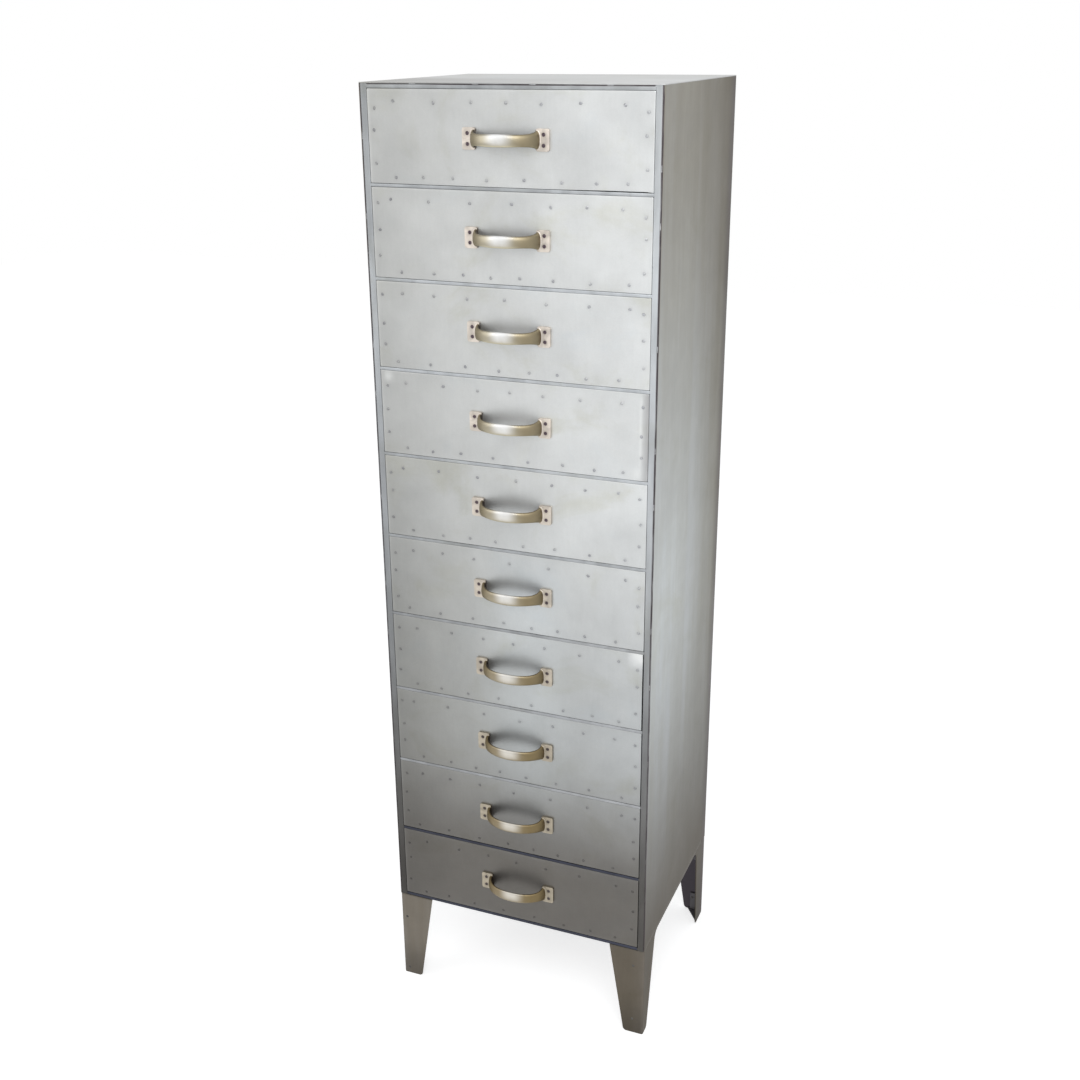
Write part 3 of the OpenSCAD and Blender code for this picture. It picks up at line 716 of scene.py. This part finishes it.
def side_dent(y, z):
    """How far the side sheet lies in from its plane, between the posts."""
    edge = clear_of(40 * MM, y - FRONT_Y, BACK_Y - y)
    ends = smooth(0, 60 * MM, CASE_TOP - z) * smooth(-10 * MM, 60 * MM, z - LEG_TOP)
    wave = 0.5 + 0.5 * swell((y, z, 0), 0.16, 4.0) + 0.25 * swell((y, z, 0), 0.05, 9.0)
    return 0.8 * MM * max(0.0, wave) * edge * ends


def on_plane(row):
    """From front to back, where a leg's row of points lies flat in the side's plane."""
    return sorted(y for x, y, z in row if abs(abs(x) - SIDE_X) < 1e-6)


def side_fold_sheen(p):
    """A faint painted highlight on the legs' folds."""
    fold = abs(abs(p.x) - SIDE_X) + min(p.y - FRONT_Y, BACK_Y - p.y)
    return 0.04 * hill(fold, 0, 2.2 * MM) if p.z < LEG_TOP else 0.0


def side_sheet(side):
    """The left (-1) or right (1) side sheet, cut in one with its two folded legs."""

    def placed(rows, start, inward):
        return [[(side * (SIDE_X - x), start + inward * y, z) for x, y, z in row] for row in rows]

    bm = bmesh.new()
    near = placed(leg_rows(FRONT_SIDE_TOP, FRONT_SIDE_FOOT), FRONT_Y, 1)
    far = placed(leg_rows(REAR_SIDE_TOP, REAR_SIDE_FOOT), BACK_Y, -1)
    near_y, far_y = on_plane(near[-1]), on_plane(far[-1])
    middle = steps(near_y[-1], far_y[0], 7 * MM)[1:-1]
    columns = [FRONT_Y, *near_y, *middle, *far_y, BACK_Y]
    case = [
        [(side * (SIDE_X - side_dent(y, z)), y, z) for y in columns]
        for z in steps(LEG_TOP, CASE_TOP, 9 * MM)
    ]
    for rows, way in ((near, side), (far, -side), (case, side)):
        patch(bm, [row[::way] for row in rows])        # this way round, the faces look outwards
    bmesh.ops.remove_doubles(bm, verts=bm.verts, dist=MERGE)
    for v in bm.verts:
        v.co.x *= KEPT_IN
    hand = "right" if side > 0 else "left"
    obj = thicken(make_object(f"side_sheet_{hand}", bm), SHEET)
    set_marks(obj, none, side_fold_sheen)
    finish_piece(obj, SIDE_STEEL, "cabinet", [f"side_panel_{hand}"])


for side in (-1, 1):
    side_sheet(side)


# ---- Roof and back sheets ----

def sunken(depth, place, size, seed):
    """How deep a sheet is sunken at a place: from nothing to depth."""
    return depth * (0.5 + 0.5 * swell(place, size, seed))


def roof_sheet():
    """The roof sheet, a little sunken between its edges."""

    def height(x, y):
        inside = clear_of(40 * MM, SIDE_X - abs(x), y - FRONT_Y, BACK_Y - y)
        return TOP_Z - sunken(0.6 * MM, (x, y, 0), 0.13, 2.0) * inside

    bm = bmesh.new()
    xs, ys = steps(-SIDE_X, SIDE_X, 8 * MM), steps(FRONT_Y, BACK_Y, 8 * MM)
    patch(bm, [[(x, y, height(x, y)) for x in xs] for y in ys])
    obj = thicken(make_object("roof_sheet", bm), SHEET)
    set_marks(obj, none, none)
    finish_piece(obj, ROOF_STEEL, "cabinet", ["top_panel"])


def back_sheet():
    """The back sheet, with shallow dents between its edges."""
    low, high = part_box("back_panel")

    def depth(x, z):
        inside = clear_of(50 * MM, high.x - abs(x), z - low.z, high.z - z)
        return high.y - sunken(1.0 * MM, (x, 0, z), 0.15, 6.0) * inside

    bm = bmesh.new()
    xs, zs = steps(low.x, high.x, 9 * MM)[::-1], steps(low.z, high.z, 9 * MM)
    patch(bm, [[(x, depth(x, z), z) for x in xs] for z in zs])
    obj = thicken(make_object("back_sheet", bm), high.y - low.y)
    set_marks(obj, none, none)
    finish_piece(obj, BACK_STEEL, "cabinet", ["back_panel"])


roof_sheet()
back_sheet()


# ---- Drawer fronts ----

def rivet_places(k):
    """Places of the rivets in drawer k's front, from the middle of its lower edge."""
    low, high = FRONT_BOX[k]
    half, height = high.x, high.z - low.z
    places = []
    for n, z, seed in ((UPPER_RIVETS, height - UPPER_INSET, 1), (LOWER_RIVETS, LOWER_INSET, 2)):
        for i in range(n):
            x = (half - ROW_INSET) * (2 * i / (n - 1) - 1)
            x += stray(seed + 7 * k + 3 * i, RIVET_STRAY)
            places.append((x, z + stray(seed + 5 * k + i, RIVET_STRAY / 7)))
    for side in (-1, 1):
        for i, z in enumerate(COLUMN_HEIGHTS):
            x = side * (half - COLUMN_INSET) + stray(k + i, RIVET_STRAY / 7)
            places.append((x, z + stray(11 * k + 4 * i + side, RIVET_STRAY / 2)))
    return places


def pan_points(k):
    """The x, y and z values of the grids over drawer k's folded pan, closer near its folds."""
    low, high = FRONT_BOX[k]
    bend = [PAN_BEND * i / 4 for i in range(5)]

    def spread(start, end, spacing):
        inner = steps(start + PAN_BEND, end - PAN_BEND, spacing)[1:-1]
        return [start + b for b in bend] + inner + [end - b for b in bend[::-1]]

    xs, zs = spread(low.x, high.x, 3 * MM), spread(low.z, high.z, 3 * MM)
    ys = [low.y + b for b in bend] + steps(low.y + PAN_BEND, high.y, 4 * MM)[1:]
    return xs, ys, zs


def rounded(p, low, high):
    """Moves a point of the sharp pan onto its rounded folds."""
    core = Vector((
        min(max(p.x, low.x + PAN_BEND), high.x - PAN_BEND),
        max(p.y, low.y + PAN_BEND),
        min(max(p.z, low.z + PAN_BEND), high.z - PAN_BEND),
    ))
    out = p - core
    return core + out.normalized() * PAN_BEND if out.length > 1e-9 else p


def shares(k, p):
    """Where a point is on drawer k's front: from -1 to 1 across it, and from 0 to 1 up it."""
    low, high = FRONT_BOX[k]
    return p.x / high.x, (p.z - low.z) / (high.z - low.z)


def seen_gaps(k, u):
    """How wide the gaps round drawer k's front look, a share u across it: at its left, right,
    top and bottom."""
    wide_right = {6: 0.6, 7: 1.7, 8: 1.1, 9: 0.9, 10: 0.9}
    right = wide_right.get(k, 0.35)
    top = bottom = 0.12 + 0.04 * u
    if k == 1:
        bottom += 0.9 * smooth(0.2, 0.8, u) * smooth(1.0, 0.95, u)
    if k == 9:
        bottom += 0.3
    if k == 10:
        top += 0.2
    return LEAST_GAP, right * MM, top * MM, bottom * MM


def bent_places(k, u, v):
    """Where drawer k's front is bent: how far back the place with the shares u and v lies, and
    how strong the painted highlight on it is."""
    if k == 4:
        start = 0.952
        strip = smooth(start, start + 0.01, u) * smooth(0.02, 0.1, v) * smooth(1.0, 0.92, v)
        back = 1.1 * MM * strip * (u - start) / (1 - start)
        fold = hill(u, 0.953, 0.006) * smooth(0.04, 0.1, v) * smooth(0.98, 0.9, v)
        corner = hill(u, 0.93, 0.03) * hill(v, 0.08, 0.08)
        far = hill(u, -0.95, 0.035) * hill(v, 0.95, 0.07)
        return back, max(0.35 * fold, 0.5 * corner, 0.7 * far)
    if k == 7:
        corner = smooth(0.88, 1.0, u) * smooth(0.80, 1.0, v)
        return 1.0 * MM * corner, 0.9 * corner ** 0.5
    return 0.0, 0.0


def front_shape(k, p, places):
    """Waves, dimples and uneven edges of drawer k's front, which nearly fills its opening."""
    low = FRONT_BOX[k][0]
    u, v = shares(k, p)
    flat = 1 - smooth(2 * MM, 11 * MM, p.y - low.y)
    wave = 0.35 * MM * swell((p.x, k, p.z), 0.09, k) + 0.15 * MM * swell((p.x, k, p.z), 0.035, k)
    inside = clear_of(0.12, 1 - abs(u)) * clear_of(0.25, v, 1 - v)
    dimple = sum(hill(p.x, x, 5 * MM) * hill(p.z - low.z, z, 5 * MM) for x, z in places)
    y = (wave * (0.25 + 0.75 * inside) + 0.2 * MM * dimple + bent_places(k, u, v)[0]) * flat
    left, right, top, bottom = seen_gaps(k, u)
    across = SIDE_GAP - (right if u > 0 else left) + 0.15 * MM * swell((0, k, p.z), 0.05, 3 + k)
    upward = RAIL_GAP - (top if v > 0.5 else bottom) + 0.12 * MM * swell((p.x, k, 0), 0.07, 7 + k)
    # The high powers keep the pressed-out edges narrow.
    x = math.copysign(min(across, SIDE_GAP - LEAST_GAP), u) * abs(u) ** 6
    z = math.copysign(min(upward, RAIL_GAP - LEAST_GAP), v - 0.5) * abs(2 * v - 1) ** 8
    return p + Vector((x, y, z))


def front_grime_and_shade(k, places):
    """How dark drawer k's front is: dirt round its rivets, and painted shade in its seams, behind
    its folds, and on the bent end of drawer 4's."""
    low, high = FRONT_BOX[k]

    def rule(p):
        edge = min(p.x - low.x, high.x - p.x, p.z - low.z, high.z - p.z)
        # Painted shade in the seams, behind the folds and on drawer 4's bent strip; dirt round the
        # rivets.
        seam = 0.04 * math.exp(-max(0.0, edge) / (2.0 * MM))
        near = min(math.hypot(p.x - x, p.z - low.z - z) for x, z in places)
        spot = 0.16 * hill(near, 0, 3.6 * MM)
        inner = 0.5 * smooth(3 * MM, 9 * MM, p.y - low.y)
        u = shares(k, p)[0]
        strip = 0.20 * smooth(0.955, 0.965, u) + 0.26 * smooth(0.965, 1.0, u)
        return max(seam, spot, inner, strip if k == 4 else 0.0)

    return rule


def front_sheen(k):
    """How strong the painted highlight is on drawer k's bent places and on its left, upper and lower
    folds.
    """
    low, high = FRONT_BOX[k]

    def rule(p):
        bend = bent_places(k, *shares(k, p))[1]
        # Painted highlights on the folds, stronger higher up.
        sheen_level = 0.04 + 0.09 * smooth(0.3, 1.0, p.z)
        left = math.exp(-max(0.0, p.x - low.x) / (1.4 * MM))
        rails = 0.5 * math.exp(-max(0.0, min(p.z - low.z, high.z - p.z)) / (1.2 * MM))
        return max(bend, sheen_level * max(left, rails))

    return rule


def drawer_front(k):
    """The folded pan: its face, its lower and upper returns, and its left and right ones."""
    low, high = FRONT_BOX[k]
    xs, ys, zs = pan_points(k)
    places = rivet_places(k)
    bm = bmesh.new()
    patch(bm, [[(x, low.y, z) for x in xs] for z in zs])
    patch(bm, [[(x, y, low.z) for x in xs] for y in ys[::-1]])
    patch(bm, [[(x, y, high.z) for x in xs] for y in ys])
    patch(bm, [[(low.x, y, z) for y in ys[::-1]] for z in zs])
    patch(bm, [[(high.x, y, z) for y in ys] for z in zs])
    bmesh.ops.remove_doubles(bm, verts=bm.verts, dist=MERGE)
    for v in bm.verts:
        v.co = front_shape(k, rounded(v.co, low, high), places)
    obj = thicken(make_object(seq("front_pan", k), bm), PAN_SHEET)
    set_marks(obj, front_grime_and_shade(k, places), front_sheen(k))
    finish_piece(obj, FRONT_STEEL, seq("drawer", k), [seq("drawer_front", k)])


for k in DRAWERS:
    drawer_front(k)


# ---- Rivets and screws ----

def rivet(bm, place, seed):
    """A hand-set rivet: a low head, not quite round, and a tail beaten flat inside the tray."""
    turn = Matrix.Rotation(seed * 2.4, 4, "Y")
    wide = 1 + stray(seed, 0.12)
    rim = 0.1 * MM
    end = FRONT_GRIP + TAIL_H
    profile = [(RIVET_R * 0.6, end), (RIVET_R, end - rim), (TAIL_R, FRONT_GRIP + rim),
               (TAIL_R - rim, FRONT_GRIP), (RIVET_R, FRONT_GRIP), (RIVET_R, rim)]
    for a in quarter_turn(6)[:-1]:
        profile.append((RIVET_HEAD_R * math.cos(a), rim - (RIVET_HEAD_H + rim) * math.sin(a)))
    rings = []
    for r, y in profile:
        ring = [(r * wide * math.cos(a), y, r / wide * math.sin(a)) for a in full_turn(RIVET_SIDES)]
        rings.append([place + turn @ Vector(p) for p in ring])
    tube(bm, rings)


def nut(bm, place):
    """A hexagon nut behind the tray's front wall, with its outer edges rounded off."""
    bore = SCREW_R + 0.05 * MM
    end = FRONT_GRIP + NUT_H
    rise = [(0, FRONT_GRIP), (1, FRONT_GRIP), (1, end - 0.3 * MM), (0.93, end), (0, end)]
    rings = []
    for share, y in rise:
        ring = []
        for a in full_turn(SCREW_SIDES):
            flat = (a + math.pi / 6) % (math.pi / 3) - math.pi / 6
            r = share * NUT_W / 2 / math.cos(flat) if share else bore
            ring.append(place + Vector((r * math.cos(a), y, r * math.sin(a))))
        rings.append(ring)
    tube(bm, rings, closed=True)


def slotted_screw(turn):
    """A countersunk screw with a slot, its head's face at y = -PLATE_T."""
    end = FRONT_GRIP + NUT_H + SCREW_END
    bm = bmesh.new()
    turned(bm, [
        (SCREW_R - 0.3 * MM, end), (SCREW_R, end - 0.3 * MM), (SCREW_R, -PLATE_T + SINK),
        (SCREW_HEAD_R, -PLATE_T + 0.15 * MM), (SCREW_HEAD_R - 0.15 * MM, -PLATE_T),
        (1.4 * MM, -PLATE_T - 0.05 * MM),
    ])
    screw = make_object("screw", bm)
    bm = bmesh.new()
    block(bm, (3 * SCREW_HEAD_R, 2 * SLOT_DEPTH, SLOT_W), (0, -PLATE_T, 0))
    bmesh.ops.rotate(bm, verts=bm.verts, cent=(0, 0, 0), matrix=Matrix.Rotation(turn, 3, "Y"))
    cut(screw, make_object("slot", bm))
    return screw


def fasteners(k):
    """The rivets of drawer k's front, and the screws and nuts of its handle, as one piece."""
    low = FRONT_BOX[k][0]
    bm = bmesh.new()
    for i, (x, z) in enumerate(rivet_places(k)):
        rivet(bm, Vector((x, low.y, low.z + z)), 10 * k + i)
    rivet_faces = len(bm.faces)
    screw = slotted_screw(math.radians(stray(k, 90)))
    for x, z in SCREW_PLACES:
        place = front_middle(k) + Vector((x, 0, z))
        first = len(bm.verts)
        bm.from_mesh(screw.data)
        bm.verts.ensure_lookup_table()
        for v in bm.verts[first:]:
            v.co += place
        nut(bm, place)
    bpy.data.objects.remove(screw)
    bm.faces.ensure_lookup_table()
    for face in bm.faces[rivet_faces:]:
        face.material_index = 1
    obj = make_object(seq("rivets_and_screws", k), bm)
    indices = [polygon.material_index for polygon in obj.data.polygons]
    nodes = [seq("drawer_fasteners", k)]
    finish_piece(obj, RIVET_GREY, seq("drawer", k), nodes)
    obj.data.materials.append(SCREW_BRONZE)
    obj.data.polygons.foreach_set("material_index", indices)


for k in DRAWERS:
    fasteners(k)


# ---- Handles ----
# An angle goes along the bow, from 0 at its left root to pi at its right one.

def bow_rise(a):
    """How far the bow is from its roots: from 0 there to 1 at its middle."""
    return abs(math.sin(a)) ** (2 / BOW_SQUARE)


def bow_point(a):
    """A point of the bow's line, a superellipse."""
    across = math.copysign(abs(math.cos(a)) ** (2 / BOW_SQUARE), math.cos(a))
    return Vector((-BOW_X * across, -BOW_ROOT - BOW_LINE * bow_rise(a), 0))


def bow_flare(a):
    """How much the bow widens into its foot plates."""
    return (1 - bow_rise(a)) ** 2


def bow_height(a):
    """How tall the bow is: fuller at its middle, thin at its necks and tall at its roots."""
    return (
        BOW_NECK_H
        + (BOW_MID_H - BOW_NECK_H) * math.sin(a) ** 2
        + (BOW_ROOT_H - BOW_NECK_H) * bow_flare(a)
    )


def bow_ring(a):
    """One ring of the bow: a rounded D, fuller on its outer side."""
    near = 0.02
    along = bow_point(min(a + near, math.pi)) - bow_point(max(a - near, 0))
    out = Vector((along.y, -along.x, 0)).normalized()
    ring = []
    for turn in full_turn(BOW_SIDES):
        c, s = math.cos(turn), math.sin(turn)
        outer, inner = BOW_OUTER * BOW_T + ROOT_SWELL * bow_flare(a), (1 - BOW_OUTER) * BOW_T
        off = (outer if c > 0 else inner) * math.copysign(abs(c) ** BOW_ROUND, c)
        up = bow_height(a) / 2 * math.copysign(abs(s) ** BOW_ROUND, s)
        ring.append(bow_point(a) + out * off + Vector((0, 0, up)))
    return ring


def foot_plate(bm, side):
    """A foot plate of the pull, with its corners rounded."""
    centre = (side * (HANDLE_W - PLATE_W) / 2, -PLATE_T / 2, 0)
    plate = block(bm, (PLATE_W, PLATE_T, PLATE_H), centre)
    corners = [
        edge for edge in {edge for v in plate for edge in v.link_edges}
        if abs(edge.verts[0].co.y - edge.verts[1].co.y) > PLATE_T / 2
    ]
    bmesh.ops.bevel(
        bm, geom=corners, offset=PLATE_ROUND, segments=6, affect="EDGES", profile=0.5
    )


def screw_holes():
    """The countersunk holes of the foot plates, as solids to cut with."""
    hole_r, sunk_r = SCREW_R + 0.1 * MM, SCREW_HEAD_R + 0.1 * MM
    bm = bmesh.new()
    for x, z in SCREW_PLACES:
        turned(bm, [(hole_r, MM), (hole_r, -PLATE_T + SINK), (sunk_r, -PLATE_T),
                    (sunk_r, -PLATE_T - MM)], x, z)
    bmesh.ops.recalc_face_normals(bm, faces=bm.faces)
    return make_object("holes", bm)


def cast_pull():
    """A pull, at the origin: the bow and its foot plates run into one casting."""
    bm = bmesh.new()
    angles = [math.pi / 2 * (1 - math.cos(math.pi * i / BOW_RINGS)) for i in range(BOW_RINGS + 1)]
    tube(bm, [bow_ring(a) for a in angles])
    for side in (-1, 1):
        foot_plate(bm, side)
    bmesh.ops.recalc_face_normals(bm, faces=bm.faces)
    pull = make_object("cast_pull", bm)
    modify(pull, "REMESH", mode="VOXEL", voxel_size=0.5 * MM, use_smooth_shade=True)
    modify(pull, "SMOOTH", factor=0.5, iterations=4)
    cut(pull, screw_holes())
    return pull


def pull_grime_and_shade(p):
    """Dirt round the screws, and painted shade where the bow's roots meet the foot plates."""
    screw = min(math.hypot(p.x - x, p.z - z) for x, z in SCREW_PLACES)
    ring = 0.5 * hill(screw, 0, 3.6 * MM)
    root = 0.5 * smooth(-5 * MM, -1 * MM, p.y) * smooth(46 * MM, 40 * MM, abs(p.x))
    return max(ring, root)


def handles():
    """The ten pulls, all cast from one pattern."""
    pull = cast_pull()
    for k in DRAWERS:
        obj = link(seq("bow_pull", k), pull.data.copy())
        set_marks(obj, pull_grime_and_shade, none)
        obj.data.transform(Matrix.Translation(front_middle(k)))
        finish_piece(obj, AGED_BRASS, seq("drawer", k), [seq("handle", k)])
    bpy.data.objects.remove(pull)


handles()


# ---- Posts, rails, runners and the other bars ----

def inner_shade(p):
    """Painted shade behind the front."""
    return 0.6 * smooth(3 * MM, 12 * MM, p.y - FRONT_Y)


def refined(node, material, edge):
    """A clean copy of a CAD piece, with its facets joined and its edges softened."""
    bm = bmesh.new()
    bm.from_mesh(frame["nodes"][node].data)
    bmesh.ops.remove_doubles(bm, verts=bm.verts, dist=MERGE / 2)
    bmesh.ops.dissolve_limit(
        bm, angle_limit=math.radians(1), verts=bm.verts, edges=bm.edges, delimit={"NORMAL"}
    )
    obj = make_object(f"{node}_steel", bm)
    soften(obj, edge)
    set_marks(obj, inner_shade, none)
    finish_piece(obj, material, BODY_OF[node], [node])


for node in ("front_post_left", "front_post_right", "rear_post_left", "rear_post_right",
             "top_rails", "bottom_rails", "divider_rails"):
    refined(node, FRAME_STEEL, BAR_EDGE)
for node in ("bottom_panel", "runners_left", "runners_right", "foot_plates", "leg_gussets"):
    refined(node, INNER_STEEL, TRAY_EDGE)
for k in DRAWERS:
    refined(seq("drawer_box", k), INNER_STEEL, TRAY_EDGE)
for node, material in (("leg_rivets", RIVET_GREY), ("tack_welds", WELD_GREY)):
    frame["nodes"][node].data.materials.clear()
    frame["nodes"][node].data.materials.append(material)


# ---- Stage, light and camera ----

PALE, FLOOR_GLOW = (0.75, 0.75, 0.75, 1), 0.62
SKY, SKY_LIGHT, WHITE = (0.97, 0.985, 1.0, 1), 0.55, (1, 1, 1, 1)
LAMP_TARGET = Vector((0, 0, 0.8))
CAMERA_PLACE = Vector((0.6883, -1.7319, 1.4353))
CAMERA_YAW, CAMERA_PITCH, CAMERA_ROLL = (math.radians(a) for a in (22.261, 20.811, -0.479))
FOCAL_PX, FRAME_PX, SENSOR = 1342.8, 1080, 36


def shown_or_lit(t, seen, lighting):
    """The seen shader for the rays that show the background, which are the camera, glossy and
    transmission rays, and the lighting shader for the others."""
    path = t.add("ShaderNodeLightPath").outputs
    shown = path["Is Camera Ray"]
    for kind in ("Is Glossy Ray", "Is Transmission Ray"):
        shown = t.math("ADD", shown, path[kind], clamp=True)
    return t.add("ShaderNodeMixShader", {0: shown, 1: lighting, 2: seen}).outputs[0]


def floor():
    """A pale floor that looks white and throws back no more light than grey paint."""
    bm = bmesh.new()
    bmesh.ops.create_grid(bm, x_segments=2, y_segments=2, size=6)
    obj = make_object("floor", bm)
    obj.location.z = -0.2 * MM
    t = Tree(bpy.data.materials.new("pale_floor"))
    paint = t.add("ShaderNodeBsdfDiffuse", {"Color": PALE}).outputs[0]
    glow = t.add("ShaderNodeEmission", {"Strength": FLOOR_GLOW}).outputs[0]
    white = t.add("ShaderNodeAddShader", {0: paint, 1: glow}).outputs[0]
    t.add("ShaderNodeOutputMaterial", {0: shown_or_lit(t, white, paint)})
    obj.data.materials.append(t.owner)


def studio():
    """A white backdrop, and a soft, faintly blue light from all sides."""
    t = Tree(bpy.data.worlds.new("studio"))
    soft = t.add("ShaderNodeBackground", {"Color": SKY, "Strength": SKY_LIGHT}).outputs[0]
    white = t.add("ShaderNodeBackground", {"Color": WHITE}).outputs[0]
    t.add("ShaderNodeOutputWorld", {0: shown_or_lit(t, white, soft)})
    bpy.context.scene.world = t.owner


def lamp(name, place, size, power):
    """A round, soft lamp, so wide and of so many watts, that shines at the cabinet's middle."""
    data = bpy.data.lights.new(name, "AREA")
    data.shape, data.size, data.energy = "DISK", size, power
    obj = link(name, data)
    obj.location = place
    obj.rotation_euler = (LAMP_TARGET - Vector(place)).to_track_quat("-Z", "Y").to_euler()


def camera():
    """The main view: the front and the right side from a little above."""
    yaw, pitch, roll = CAMERA_YAW, CAMERA_PITCH, CAMERA_ROLL
    ahead = Vector((-math.sin(yaw) * math.cos(pitch), math.cos(yaw) * math.cos(pitch),
                    -math.sin(pitch)))
    right = Vector((math.cos(yaw), math.sin(yaw), 0))
    up = right.cross(ahead)
    turned_right = math.cos(roll) * right + math.sin(roll) * up
    turned_up = math.cos(roll) * up - math.sin(roll) * right
    data = bpy.data.cameras.new("camera")
    data.sensor_width = SENSOR
    data.lens = FOCAL_PX / FRAME_PX * SENSOR
    obj = link("camera", data)
    turn = Matrix((turned_right, turned_up, -ahead)).transposed().to_4x4()
    obj.matrix_world = Matrix.Translation(CAMERA_PLACE) @ turn
    bpy.context.scene.camera = obj


floor()
studio()
lamp("key", (0.9, -1.9, 2.3), 1.6, 26)
lamp("fill", (-1.8, -1.4, 1.6), 1.8, 8)
camera()
bpy.context.scene.view_settings.view_transform = "Standard"
